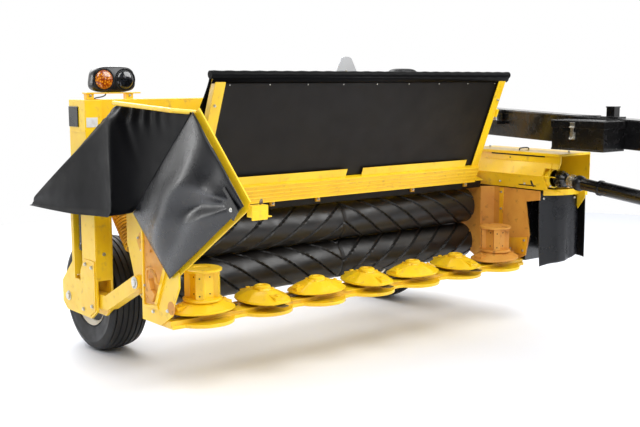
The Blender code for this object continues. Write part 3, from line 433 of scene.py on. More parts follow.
def side_curtain():
    """The right side curtain, from the corner of the flap's frame back along its rail."""
    top = [Vector(p) for p in CURTAIN_TOP]
    foot = [Vector(p) for p in CURTAIN_FOOT]
    shape = net(lambda u, v: curtain_point(u, v, top, foot), 110, 48)
    cloth = piece("side_curtain_cloth", shape, VINYL, "header", smooth=180, wall=0.0022)
    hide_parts("side_curtain_right")


def flap_point(u, v):
    """A point of the corner flap: u runs from its rear edge to its nose edge, v from the top corner down."""
    top, nose, toe, rear = (Vector(p) for p in (FLAP_TOP, FLAP_NOSE, FLAP_TOE, FLAP_REAR))
    at = top.lerp(rear, v).lerp(nose.lerp(toe, v), u)
    inside = math.sin(math.pi * u) ** 0.7 * math.sin(math.pi * v) ** 0.7
    x = FLAP_X - 0.006 - 0.052 * inside
    # long fold from the top corner
    x -= 0.024 * hump(u - 0.30 * v, 0.30, 0.16) * inside
    x += 0.020 * hump(u - 0.25 * v, 0.58, 0.12) * inside
    # folds that run out from the nose
    turn, reach = math.atan2(v, 1 - u + 1e-6), math.hypot(v, 1 - u)
    fan = ease(reach, 0.05, 0.30) * (1 - ease(reach, 0.36, 0.80)) * ease(v, 0.0,
                                                                         0.08) * ease(1 - u, 0.0, 0.08)
    x -= fan * (0.024 * hump(turn, 0.50, 0.16) - 0.020 * hump(turn, 0.82,
                                                              0.14) + 0.016 * hump(turn, 1.12, 0.14))
    x += 0.003 * math.sin(17 * u + 11 * v) * inside
    return Vector((x, at.x, at.y))


def corner_flap():
    """The four-cornered flap stretched on its frame at the front, with the strip that clamps its nose."""
    cloth = piece("corner_flap_cloth", net(flap_point, 64, 64), GLOSS_VINYL, "header", smooth=180,
                  wall=0.0022)
    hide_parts("end_flap_right")
    strip = bmesh.new()
    prism(strip, [(-1.790, 1.210), (-1.905, 1.105), (-1.860, 1.055), (-1.745, 1.160)], "YZ", -1.476, -1.470)
    piece("flap_retainer", strip, BLACK, "header", edge=0.002)
    head = bmesh.new()
    rivet(head, (-1.476, -1.845, 1.105), (-1, 0, 0), 0.011)
    piece("flap_rivet", head, ZINC, "header")


def end_frame_fittings():
    """Bolts along the bar that holds the flap, and the hook on the shelf."""
    shape = bmesh.new()
    for share in (0.12, 0.30, 0.48, 0.66, 0.84):
        at = Vector((0, *FLAP_TOP)).lerp(Vector((0, *FLAP_NOSE)), share)
        bolt(shape, (-1.4267, at.y, at.z), (1, 0, 0), 0.014)
        spin(shape, [(0.005, -0.001), (0.005, 0.0012), (0, 0.0012)], (-1.431, at.y - 0.0155, at.z + 0.0160),
             (0, -0.7, 0.71), 12)
    # painted shade: these bolts take the darker yellow that stands for shade
    piece("flap_bar_bolts", shape, YELLOW_IN_SHADE, "header")
    hook = bmesh.new()
    tube(hook, rounded([(-1.365, -1.925, 1.128), (-1.365, -1.925, 1.142), (-1.350, -1.915, 1.154),
                        (-1.338, -1.900, 1.140),
                        (-1.338, -1.900, 1.128)]), 0.005)
    piece("shelf_hook", hook, BLADE_STEEL, "header")
    lip = bmesh.new()
    slab(lip, (-1.434, -1.9575, 1.062), (-1.346, -1.9515, 1.106))
    slab(lip, (-1.3425, -1.956, 1.071), (-1.320, -1.915, 1.077))
    slab(lip, (-1.3455, -1.956, 1.071), (-1.3415, -1.915, 1.128))
    piece("shelf_lip", lip, YELLOW, "header", edge=0.0015)


# ---- conditioner rolls --------------------------------------------------------------------------
ROLL_RADIUS, ROLL_HALF, ROLL_SHAFT = 0.125, 1.25, 0.025
LUGS_ROUND, LUG_PITCH, LUG_DEPTH, APEX = 6, 0.185, 0.015, 0.03


def lug_height(turn, x, sense):
    """Height of the moulded chevron lugs: crowned, with a narrow groove between two and a lip on one side."""
    phase = (LUGS_ROUND * turn + sense * abs(x - APEX) / LUG_PITCH) % 1.0
    groove = 1 - ease(phase, 0.0, 0.045) * (1 - ease(phase, 0.925, 0.97))
    crown = 0.10 * ease(phase, 0.05, 0.12) * (1 - ease(phase, 0.82, 0.90)) + 0.06 * hump(phase, 0.5, 0.3)
    seam = 0.5 * hump(x, APEX, 0.010)
    return 0.0032 - LUG_DEPTH * min(1.0, groove + crown + seam)


def roll(node, sense):
    """A roll of moulded rubber on its shaft. Its lugs meet in a chevron at the middle."""
    centre = middle(node) - HOME
    shape = bmesh.new()
    across, round_ = 330, 110
    rows = []
    for i in range(across + 1):
        x = -ROLL_HALF + 2 * ROLL_HALF * i / across
        row = []
        for k in range(round_):
            turn = k / round_
            r = ROLL_RADIUS + lug_height(turn, x, sense)
            row.append(shape.verts.new((x, centre.y + r * math.cos(math.tau * turn),
                                        centre.z + r * math.sin(math.tau * turn))))
        rows.append(row)
    loft(shape, rows)
    rubber = piece(f"{node}_rubber", shape, ROLL_RUBBER, f"{node}_body", smooth=38)
    shaft = bmesh.new()
    for end in (-1, 1):
        at = Vector((end * ROLL_HALF, centre.y, centre.z))
        spin(shaft,
             [(0.060, -0.004), (0.060, 0.010), (0.045, 0.014), (ROLL_SHAFT, 0.016), (ROLL_SHAFT, 0.088)],
             at, (end, 0, 0), 28)
        for dy, dz in circle(0.048, 6):
            bolt(shaft, at + Vector((end * 0.010, dy, dz)), (end, 0, 0), 0.010)
    metal = piece(f"{node}_shaft", shaft, ZINC, f"{node}_body")
    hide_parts(node)
    return metal


# ---- cutterbar discs ----------------------------------------------------------------------------
DISC_LINE_Y, DISC_PITCH = -1.15, 0.40
RIM_Z, RISE = 0.468, 0.056
DISC_LONG, DISC_SHORT = 0.19, 0.145


def oval(turn, long, short, flats=0.0):
    """A point of the disc's oval rim. `flats` pulls it towards a blunt eight-sided form."""
    c, s = math.cos(turn), math.sin(turn)
    r = 1 / math.sqrt((c / long) ** 2 + (s / short) ** 2)
    nearest = round(turn / (math.pi / 4)) * math.pi / 4
    return r * (1 - flats + flats * math.cos(math.pi / 8) / math.cos((turn - nearest)))


def disc_dome(shape, at, quarter):
    """The pressed dome: a turned-down rim, a broad slope with flats at the blades, and a raised hub seat."""
    levels = [(0.98, -0.006, 0.25), (1.012, -0.001, 0.25), (1.005, 0.008, 0.30), (0.96, 0.013, 0.70),
              (0.87, 0.026, 0.95),
              (0.62, 0.044, 0.95), (0.51, 0.0520, 0.6), (0.45, 0.0545, 0.0), (0.34, 0.055, 0.0),
              (0.32, 0.061, 0.0),
              (0.25, 0.063, 0.0)]
    rings = []
    for share, height, flats in levels:
        ring = []
        for k in range(72):
            turn = math.tau * k / 72
            r = oval(turn, DISC_LONG, DISC_SHORT, flats) * share
            slope = -0.004 * hump((turn + math.pi / 2) % math.pi - math.pi / 2, 0,
                                  0.30) * (0.5 < share < 0.95)
            a = turn + quarter
            ring.append(shape.verts.new((at.x + r * math.cos(a), at.y + r * math.sin(a),
                                         RIM_Z + height + slope)))
        rings.append(ring)
    loft(shape, rings)


def disc_blades(shape, at, quarter):
    """Two knives below the rim, each twisted a little and held by its pin."""
    for end in (0, math.pi):
        turn = Matrix.Rotation(quarter + end, 4, "Z")
        place = Matrix.Translation((at.x, at.y, RIM_Z - 0.0105)) @ turn @ Matrix.Rotation(0.10, 4, "X")
        outline = [(0.142, -0.021), (0.205, -0.021), (0.223, -0.010), (0.223, 0.021), (0.142, 0.021)]
        rings = []
        for z in (-0.002, 0.002):
            rings.append([shape.verts.new(place @ Vector((u, v, z + 0.0012 * (u - 0.18) / 0.04)))
                          for u, v in outline])
        loft(shape, rings)
        pin = Matrix.Translation(at) @ turn @ Vector((0.163, 0, 0))
        spin(shape, [(0.017, -0.019), (0.017, -0.011), (0.010, -0.010), (0.010, 0.0)], (pin.x, pin.y, RIM_Z),
             (0, 0, 1), 16)


def turret(shape, dark, at):
    """The drum over an end disc: a round lid on channel posts, with bolted plates set back between them. The
    dark discs on posts and plates and the dark core are painted shade in the holes and inside the drum.
    """
    low, lid = RIM_Z + RISE + 0.004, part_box("disc_1")[1][2] - 0.006
    spin(shape, [(0.103, lid - 0.012), (0.109, lid - 0.008), (0.109, lid + 0.001), (0.101, lid + 0.005),
                 (0.050, lid + 0.0055), (0.047, lid + 0.002), (0, lid + 0.002)], (at.x, at.y, 0), (0, 0, 1),
         56)
    spin(shape, [(0.103, low - 0.012), (0.108, low - 0.006), (0.108, low + 0.003), (0.101, low + 0.006),
                 (0.060, low + 0.006)], (at.x, at.y, 0), (0, 0, 1), 48)
    for k in range(4):
        turn = Matrix.Rotation(math.radians(-131 + 90 * k), 4, "Z")
        for u, v, du, dv in ((0.092, 0, 0.0025, 0.021), (0.075, 0.0200, 0.018, 0.0022),
                             (0.075, -0.0200, 0.018, 0.0022)):
            place = turn @ Vector((u, v, 0))
            slab(shape, (at.x + place.x - du, at.y + place.y - dv, low),
                 (at.x + place.x + du, at.y + place.y + dv,
                                                                         lid - 0.008), turn)
        # painted shade: dark discs in the holes of the posts
        for z in (low + 0.026, lid - 0.040):
            place = turn @ Vector((0.0945, 0, 0))
            spin(dark, [(0.0046, -0.001), (0.0046, 0.0006), (0, 0.0006)], (at.x + place.x, at.y + place.y, z),
                 turn @ Vector((1, 0, 0)), 14)
        turn = Matrix.Rotation(math.radians(-86 + 90 * k), 4, "Z")
        place = turn @ Vector((0.058, 0, 0))
        slab(shape, (at.x + place.x - 0.003, at.y + place.y - 0.030, low), (at.x + place.x + 0.003,
                                                                           at.y + place.y + 0.030,
                                                                            lid - 0.008), turn)
        # painted shade: dark discs in the holes of the plates
        for z in (low + 0.030, lid - 0.040):
            place = turn @ Vector((0.061, 0.006, 0))
            spin(dark, [(0.0046, -0.001), (0.0046, 0.0006), (0, 0.0006)], (at.x + place.x, at.y + place.y, z),
                 turn @ Vector((1, 0, 0)), 14)
    # painted shade: a dark core inside the drum, seen through the gaps between the posts
    spin(dark, [(0.052, low), (0.052, lid - 0.009)], (at.x, at.y, 0), (0, 0, 1), 24)


def disc(i):
    """One cutting disc. Every second one is a quarter turn on, so that the blades pass between each other."""
    x = (i - 3) * DISC_PITCH
    at, quarter = Vector((x, DISC_LINE_Y, 0)), math.pi / 2 * (i % 2)
    node, body = f"disc_{i + 1}", f"disc_{i + 1}_body"
    # small_parts takes the turret's dark discs and dark core, which are painted shade
    pressed, knives, small_parts = bmesh.new(), bmesh.new(), bmesh.new()
    disc_dome(pressed, at, quarter)
    spin(pressed, [(0.052, 0.4405), (0.052, RIM_Z - 0.004), (0.080, RIM_Z - 0.002)], (x, DISC_LINE_Y, 0),
         (0, 0, 1),
         32)
    disc_blades(knives, at, quarter)
    # painted shade: a dark ring under the rim and dark pads under the blade seats stand for the shade between
    # disc and cutterbar
    gap = bmesh.new()
    spin(gap, [(0.050, RIM_Z - 0.0075), (0.128, RIM_Z - 0.0085), (0.130, RIM_Z - 0.0062)],
         (x, DISC_LINE_Y, 0), (0, 0, 1), 40)
    for end in (0, math.pi):
        turn = Matrix.Rotation(quarter + end, 4, "Z")
        seat = turn @ Vector((0.150, 0, 0))
        slab(gap, (x + seat.x - 0.026, DISC_LINE_Y + seat.y - 0.040, RIM_Z - 0.0085),
             (x + seat.x + 0.026, DISC_LINE_Y + seat.y + 0.040, RIM_Z - 0.0055), turn)
        lump = turn @ Vector((0.142, 0, 0))
        slab(pressed, (x + lump.x - 0.033, DISC_LINE_Y + lump.y - 0.031, RIM_Z + 0.004),
             (x + lump.x + 0.028, DISC_LINE_Y + lump.y + 0.031, RIM_Z + 0.036),
             turn @ Matrix.Rotation(0.20, 4, "Y"))
        bolt(pressed, (x + lump.x, DISC_LINE_Y + lump.y, RIM_Z + 0.034), turn @ Vector((0.20, 0, 1)), 0.022)
    piece(f"{node}_underside_shade", gap, SHADE_IN_GAPS, body)
    if i in (0, 6):
        turret(pressed, small_parts, at)
    else:
        hub = RIM_Z + RISE + 0.008
        spin(pressed, [(0.050, hub - 0.004), (0.048, hub + 0.008), (0.040, hub + 0.014), (0.022, hub + 0.016),
                       (0.020, hub + 0.010), (0, hub + 0.010)], (x, DISC_LINE_Y, 0), (0, 0, 1), 30)
        for k in range(4):
            a = quarter + math.tau * (k + 0.5) / 4
            r = 0.060
            bolt(pressed, (x + r * math.cos(a), DISC_LINE_Y + r * math.sin(a), hub - 0.010), (0, 0, 1), 0.016)
    for side in (-1, 1):
        a = quarter + side * math.pi / 2
        place = Vector((x + 0.108 * math.cos(a), DISC_LINE_Y + 0.108 * math.sin(a), RIM_Z + 0.021))
        bolt(pressed, place, (0, 0, 1), 0.013)
    # painted shade: the left end disc (i == 6) takes the browner yellow for the shade beside the left end plate
    dome = piece(f"{node}_dome", pressed, YELLOW_IN_DEEP_SHADE if i == 6 else YELLOW, body, smooth=24)
    piece(f"{node}_knives", knives, BLADE_STEEL, body)
    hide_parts(node)
    # painted shade: the turret's dark discs and core go on a piece of their own
    if i in (0, 6):
        piece(f"{node}_turret_painted_shade", small_parts, SHADE_IN_GAPS, body, smooth=30)
    else:
        small_parts.free()


def cutterbar_fittings():
    """Bolts along the gear case, the dark gap under each disc, and the worn noses of the skid shoes."""
    shape = bmesh.new()
    for k in range(36):
        x = -1.40 + 0.08 * k
        bolt(shape, (x, -1.020, 0.428), (0, 1, 0), 0.014)
    piece("cutterbar_bolts", shape, ZINC, "header")
    guards = bmesh.new()
    for i in range(8):
        x = (i - 3.5) * DISC_PITCH
        wide = 0.050 if 0 < i < 7 else 0.020
        x += {0: 0.185, 7: -0.185}.get(i, 0)
        outline = [(x - wide, -1.195), (x - wide * 0.6, -1.228), (x + wide * 0.6, -1.228), (x + wide, -1.195),
                   (x + wide * 0.8, -1.10), (x - wide * 0.8, -1.10)]
        prism(guards, outline, "XY", 0.4403, 0.4435)
        rivet(guards, (x, -1.165, 0.4435), (0, 0, 1), 0.007)
    piece("rock_guards", guards, YELLOW, "header", edge=0.002)
    caps = bmesh.new()
    for i in range(7):
        spin(caps, [(0.085, 0.440), (0.085, 0.447), (0.070, 0.452), (0.060, 0.452)], ((i - 3) * DISC_PITCH,
             DISC_LINE_Y, 0), (0, 0, 1), 32)
    # painted shade: the caps under the discs take the darker yellow that stands for shade
    piece("disc_bearing_caps", caps, YELLOW_IN_SHADE, "header")


# ---- front shield -------------------------------------------------------------------------------
HINGE_Y, HINGE_Z, LEAN = -0.945, 1.02, math.radians(21.5)
SHIELD_HALF, SHIELD_LONG = 1.157, 0.745


def leaning(x, dy, dz):
    """A point of the raised shield, from its hinge line: dy back and dz up before it leans forward."""
    return Vector((x, HINGE_Y + dy * math.cos(LEAN) - dz * math.sin(LEAN),
                   HINGE_Z + dy * math.sin(LEAN) + dz * math.cos(LEAN)))


def leaning_slab(shape, low, high):
    """A bar drawn upright on the hinge line and leaned with the shield."""
    corners = slab(shape, low, high)
    for corner in corners:
        corner.co = leaning(*corner.co)


def shield_matting():
    """The board's rubberised matting. It is pinned all round, so it bellies a little between its edges."""
    half, low, top = SHIELD_HALF - 0.046, 0.100, SHIELD_LONG - 0.004

    def point(u, v):
        belly = 0.010 * math.sin(math.pi * u) ** 0.6 * math.sin(math.pi * v) ** 0.6
        waves = 0.0022 * math.sin(6.5 * u + 2.2 * v) * math.sin(math.pi * u)
        waves += 0.0014 * math.sin(19 * u - 5 * v)
        return leaning(-half + 2 * half * u, -0.0165 - belly * 0.5 + waves, low + (top - low) * v)

    sheet = piece("shield_matting", net(point, 120, 40), MATTING, "shield", smooth=180, wall=0.003)
    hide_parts("shield_panel")


def shield_curtain():
    """The curtain that rolls over the shield's top edge and hangs behind it, with its welded roll in front."""
    half = SHIELD_HALF + 0.012
    line = rounded([Vector((0, *p)) for p in ((-0.006, SHIELD_LONG + 0.037), (0.012, SHIELD_LONG + 0.016),
                                              (0.012, SHIELD_LONG - 0.05), (0.050, SHIELD_LONG - 0.21),
                                              (0.085, SHIELD_LONG - 0.38), (0.110, SHIELD_LONG - 0.50))], 2)

    def point(u, v):
        at = along(line, v)
        wave = v * v * (0.012 * math.sin(14.5 * u + 1) + 0.006 * math.sin(37 * u))
        return leaning(-half + 2 * half * u, at.y + wave, at.z)

    sheet = piece("front_curtain_cloth", net(point, 120, 30), VINYL, "shield", smooth=180, wall=0.0025)
    roll_over = bmesh.new()
    points = [leaning(x, -0.014, SHIELD_LONG + 0.022) for x in
              [-SHIELD_HALF - 0.030 + 2 * (SHIELD_HALF + 0.030) * k / 90 for k in range(91)]]
    tube(roll_over, [p + Vector((0, 0, 0.0012 * math.sin(k * 1.7))) for k, p in enumerate(points)], 0.0215,
         24)
    lap = [[leaning(x, dy, dz) for x in (-SHIELD_HALF - 0.022, 0.0, SHIELD_HALF + 0.022)]
           for dy, dz in ((-0.0345, SHIELD_LONG + 0.020), (-0.0360, SHIELD_LONG + 0.004),
                          (-0.0340, SHIELD_LONG - 0.010),
                          (-0.0270, SHIELD_LONG - 0.022))]
    surface(roll_over, lap)
    rolled = piece("front_curtain_roll", roll_over, VINYL, "shield", smooth=50, wall=0.0015)
    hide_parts("front_curtain")
    sum((b - a).length for a, b in zip(line, line[1:]))
    pins = bmesh.new()
    facing = leaning(0, -1, 0) - leaning(0, 0, 0)
    for k in range(9):
        rivet(pins, leaning(-1.06 + 0.265 * k, -0.0290, SHIELD_LONG - 0.030), facing, 0.004)
    for x in (-1.135, 1.135):
        for dz in (0.09, 0.60):
            bolt(pins, leaning(x, -0.0345, dz), facing, 0.012)
    piece("shield_fasteners", pins, ZINC, "shield")


def shield_folds():
    """The lip above the lower channel, cut out at the middle and left end, and the channel's folds."""
    shape = bmesh.new()
    for start, end in ((-1.112, -0.065), (0.065, 1.015)):
        leaning_slab(shape, (start, -0.0400, 0.090), (end, -0.0370, 0.160))
    for low, high in ((0.094, 0.101), (0.066, 0.074), (0.042, 0.048), (0.018, 0.024), (-0.0118, -0.006)):
        leaning_slab(shape, (-SHIELD_HALF, -0.0560, low), (SHIELD_HALF, -0.0500, high))
    for end in (-1, 1):
        x = sorted((end * (SHIELD_HALF - 0.066), end * (SHIELD_HALF - 0.044)))
        leaning_slab(shape, (x[0], -0.0340, 0.050), (x[1], -0.0300, SHIELD_LONG - 0.003))
        leaning_slab(shape, (min(end * (SHIELD_HALF - 0.002), end * (SHIELD_HALF + 0.001)), -0.034, 0.05),
                     (max(end * (SHIELD_HALF - 0.002), end * (SHIELD_HALF + 0.001)), 0.006, SHIELD_LONG))
    leaning_slab(shape, (SHIELD_HALF, -0.046, 0.475), (SHIELD_HALF + 0.016, -0.010, 0.530))
    piece("shield_folds", shape, YELLOW, "shield", edge=0.0012)


# ---- lamps and sign -----------------------------------------------------------------------------
def lamp(side):
    """A moulded twin lamp: a rounded housing with an amber lens outboard and a smoked one inboard."""
    name = hand(side)
    low, high = limits(f"lamp_{name}")
    centre, half = (low + high) / 2, (high - low) / 2
    shape = bmesh.new()
    rows = []
    for share, inset in ((1.0, 0.30), (0.98, 0.14), (0.80, 0.04), (0.40, 0.0), (-0.30, 0.0), (-0.72, 0.05),
                         (-0.92, 0.12),
                         (-1.0, 0.22)):
        ring = []
        for k in range(56):
            turn = math.tau * k / 56
            c, s = math.cos(turn), math.sin(turn)
            u = math.copysign(abs(c) ** 0.52, c)
            v = math.copysign(abs(s) ** 0.58, s)
            narrow = 1 - 0.10 * (v + 1) / 2 - 0.06 * (side * u + 1) / 2 * (v + 1) / 2
            x = centre.x + half.x * u * narrow * (1 - inset * 0.35)
            z = centre.z + half.z * v * (1 - inset * 0.5)
            ring.append(shape.verts.new((x, centre.y + half.y * share, z)))
        rows.append(ring)
    loft(shape, rows)
    face = centre.y - half.y
    for u in (-0.47, 0.46):
        at = (centre.x + side * u * half.x, face, centre.z - 0.002)
        spin(shape, [(0.064, 0.010), (0.068, -0.001), (0.066, -0.004), (0.060, -0.004), (0.056, 0.004)], at,
             (0, 1, 0),
             48)
    housing = piece(f"lamp_{name}_housing", shape, HOUSING, "frame", smooth=50)
    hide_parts(f"lamp_{name}")
    for kind, u, material in (("amber", 0.46, AMBER), ("smoked", -0.47, SMOKE)):
        glass = bmesh.new()
        at = (centre.x + side * u * half.x, face, centre.z - 0.002)
        spin(glass,
             [(0.057, 0.000), (0.054, 0.006), (0.044, 0.0105), (0.028, 0.0135), (0.012, 0.0148), (0, 0.015)],
             at, (0, -1, 0), 48)
        piece(f"lamp_{name}_{kind}_lens", glass, material, "frame", smooth=60)
    if side < 0:
        route = rounded([(centre.x - 0.045, centre.y - 0.012, low.z - 0.006),
                         (centre.x - 0.050, centre.y - 0.014,
                         low.z - 0.018), (centre.x - 0.075, centre.y - 0.020, low.z - 0.027),
                         (centre.x - 0.112, centre.y - 0.016, low.z - 0.031),
                         (centre.x - 0.126, centre.y - 0.006,
                                                                             low.z - 0.0405)], 3)
        lead = bmesh.new()
        tube(lead, route, 0.0035, 12)
        cable = piece("lamp_right_lead", lead, HOSE_RUBBER, "frame", smooth=60)
        sum((b - a).length for a, b in zip(route, route[1:]))


def sign_film():
    """The film on the sign's rear face: a fluorescent triangle inside a dark red reflecting border."""
    low, high = limits("warning_sign")
    x, top, face = (low.x + high.x) / 2, high.z, high.y
    border, middle_ = bmesh.new(), bmesh.new()
    prism(border, [(x - 0.192, top - 0.344), (x + 0.192, top - 0.344), (x + 0.206, top - 0.318),
                   (x + 0.046, top - 0.016),
                   (x + 0.027, top - 0.006), (x - 0.027, top - 0.006), (x - 0.046, top - 0.016),
                   (x - 0.206, top - 0.318)], "XZ", face, face + 0.0006)
    prism(middle_, [(x - 0.136, top - 0.305), (x + 0.136, top - 0.305), (x, top - 0.062)], "XZ",
          face + 0.0006,
          face + 0.0012)
    piece("sign_border_film", border, DARK_RED, "frame")
    piece("sign_middle_film", middle_, RED, "frame")
    heads = bmesh.new()
    for z in (top - 0.10, top - 0.28):
        bolt(heads, (x, face + 0.0012, z), (0, 1, 0), 0.012)
        bolt(heads, (x, low.y, z), (0, -1, 0), 0.012)
    piece("sign_bolts", heads, ZINC, "frame")


# ---- wheels -------------------------------------------------------------------------------------
def wheel(side):
    """An implement tyre with ribs round its tread, on a dished disc wheel."""
    name = hand(side)
    low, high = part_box(f"tyre_{name}")
    centre, radius, half = middle(f"tyre_{name}") - HOME, (high[2] - low[2]) / 2, (high[0] - low[0]) / 2
    rim = (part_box(f"rim_{name}")[1][2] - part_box(f"rim_{name}")[0][2]) / 2
    profile = [(rim + 0.001, half - 0.050), (rim + 0.004, half - 0.030), (rim + 0.014, half - 0.022),
               (rim + 0.018, half - 0.016), (rim + 0.024, half - 0.016), (rim + 0.028, half - 0.011),
               (rim + 0.060, half - 0.003), (rim + 0.085, half), (rim + 0.104, half - 0.001),
               (rim + 0.108, half + 0.001),
               (rim + 0.114, half + 0.001), (rim + 0.118, half - 0.002), (radius - 0.032, half - 0.008),
               (radius - 0.018, half - 0.019)]
    ribs = 6
    pitch = 2 * (half - 0.020) / ribs
    for k in range(ribs):
        near = half - 0.020 - k * pitch
        for step, drop in ((0.0, 0.010), (0.0045, 0.001), (pitch - 0.0085, 0.001), (pitch - 0.0045, 0.010)):
            at = near - step
            crown = 0.020 * (at / half) ** 2 + 0.004 * (at / half) ** 4
            profile.append((radius - drop - crown, at))
    profile += [(r, -a) for r, a in profile[13::-1]]
    rubber = bmesh.new()
    spin(rubber, profile, centre, (1, 0, 0), 112)
    tyre = piece(f"tyre_{name}_rubber", rubber, TYRE_RUBBER, f"wheel_{name}_body", smooth=32)
    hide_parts(f"tyre_{name}")
    out = half - 0.020
    steel = bmesh.new()
    spin(steel,
         [(0.0312, -0.058), (0.050, -0.058), (0.058, -0.050), (0.060, 0.004), (0.084, 0.008), (0.100, 0.000),
                 (0.138, 0.012), (0.160, 0.026), (rim - 0.018, 0.022), (rim - 0.016, -out + 0.020),
                 (rim - 0.002, -out + 0.004), (rim + 0.006, -out - 0.002), (rim + 0.009, -out - 0.006),
                 (rim + 0.011, -out - 0.003), (rim + 0.004, -out + 0.010), (rim - 0.006, -out + 0.024),
                 (rim - 0.006, out - 0.024), (rim + 0.004, out - 0.010), (rim + 0.011, out + 0.003),
                 (rim + 0.009, out + 0.006), (rim + 0.006, out + 0.002), (rim - 0.002, out - 0.004),
                 (rim - 0.016, out - 0.020), (rim - 0.018, 0.030), (0.158, 0.034), (0.136, 0.020),
          (0.100, 0.008),
                 (0.084, 0.016), (0.060, 0.012), (0.057, 0.048), (0.049, 0.058), (0.0312, 0.058)], centre,
         (-side, 0, 0), 88)
    disc_wheel = piece(f"rim_{name}_disc", steel, CREAM, f"wheel_{name}_body", smooth=38)
    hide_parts(f"rim_{name}")
    small_parts = bmesh.new()
    for dy, dz in circle(0.092, 6):
        bolt(small_parts, centre + Vector((-side * 0.006, dy, dz)), (-side, 0, 0), 0.020)
        bolt(small_parts, centre + Vector((0, dy, dz)), (side, 0, 0), 0.016)
    for face in (-1, 1):
        spin(small_parts, [(0.040, 0.056), (0.038, 0.066), (0.030, 0.070), (0, 0.071)] if face * side < 0 else
             [(0.046, 0.056), (0.046, 0.060), (0.040, 0.0605)], centre, (face, 0, 0), 28)
    valve = centre + Vector((-side * (out - 0.030), (rim - 0.028) * 0.7, (rim - 0.028) * 0.7))
    tube(small_parts, [valve, valve + Vector((-side * 0.012, -0.004, -0.004)),
                valve + Vector((-side * 0.030, -0.006, -0.006))],
         0.004, 10)
    piece(f"wheel_{name}_nuts", small_parts, ZINC, f"wheel_{name}_body", smooth=30)


# ---- legs, links, springs -----------------------------------------------------------------------
def float_spring(side):
    """A closed-wound extension spring between its bracket and its hook on the end plate."""
    name = hand(side)
    node = f"float_spring_{name}"
    x = middle(node).x - HOME.x
    top, low = Vector((x, -0.130, 1.040)), Vector((x, -0.480, 0.655))
    run = low - top
    length = run.length
    down = run.normalized()
    wide = Vector((1, 0, 0))
    out = down.cross(wide)
    wire, coil, turns = 0.0080, 0.0465, 18
    start, end = 0.085, length - 0.075
    points = []
    for k in range(turns * 14 + 1):
        a = math.tau * k / 14
        points.append(top + down * (start + (end - start) * k / (turns * 14)) + coil * (math.cos(a) * wide
                                                                                      + math.sin(a) * out))
    shape = bmesh.new()
    tube(shape, points, wire, 8)
    for base, sense in ((start, -1), (end, 1)):
        anchor = top + down * base
        tube(shape, rounded([anchor + coil * wide, anchor + down * sense * 0.012 + 0.020 * wide,
                             anchor + down * sense * 0.030, anchor + down * sense * 0.062,
                             anchor + down * sense * 0.078 + 0.014 * out,
                             anchor + down * sense * 0.064 + 0.026 * out]),
             0.0075, 10)
    # painted shade: the coil takes the darker yellow that stands for shade
    spring = piece(f"{node}_coil", shape, YELLOW_IN_SHADE, "frame", smooth=60)
    # painted shade: a black tube inside the coils stands for the shade seen between the turns
    coil_shade_core = bmesh.new()
    tube(coil_shade_core, [top + down * (start + 0.012), top + down * (end - 0.012)], 0.034, 20)
    piece(f"{node}_sleeve", coil_shade_core, BLACK, "frame", smooth=50)
    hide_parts(node)
    bracket = bmesh.new()
    slab(bracket, (x - 0.030, top.y - 0.060, top.z + 0.010), (x - 0.024, top.y, 1.4095))
    slab(bracket, (x + 0.024, top.y - 0.060, top.z + 0.010), (x + 0.030, top.y, 1.4095))
    slab(bracket, (x - 0.024, top.y - 0.006, top.z + 0.012), (x + 0.024, top.y, 1.4095))
    for flank in (-1, 1):
        prism(bracket,
              [(top.y - 0.060, top.z + 0.025), (top.y - 0.048, top.z - 0.012), (top.y - 0.020, top.z - 0.025),
                        (top.y + 0.010, top.z - 0.022), (top.y + 0.020, top.z),
               (top.y + 0.012, top.z + 0.025)],
              "YZ", *sorted((x + flank * 0.024, x + flank * 0.030)))
    piece(f"{node}_bracket", bracket, YELLOW, "frame", edge=0.0015)
    pins = bmesh.new()
    for flank in (-1, 1):
        bolt(pins, (x + flank * 0.030, top.y - 0.012, top.z), (flank, 0, 0), 0.022)
        tube(pins, [(x, top.y - 0.012, top.z), (x + flank * 0.03, top.y - 0.012, top.z)], 0.009)
    piece(f"{node}_pin", pins, ZINC, "frame")


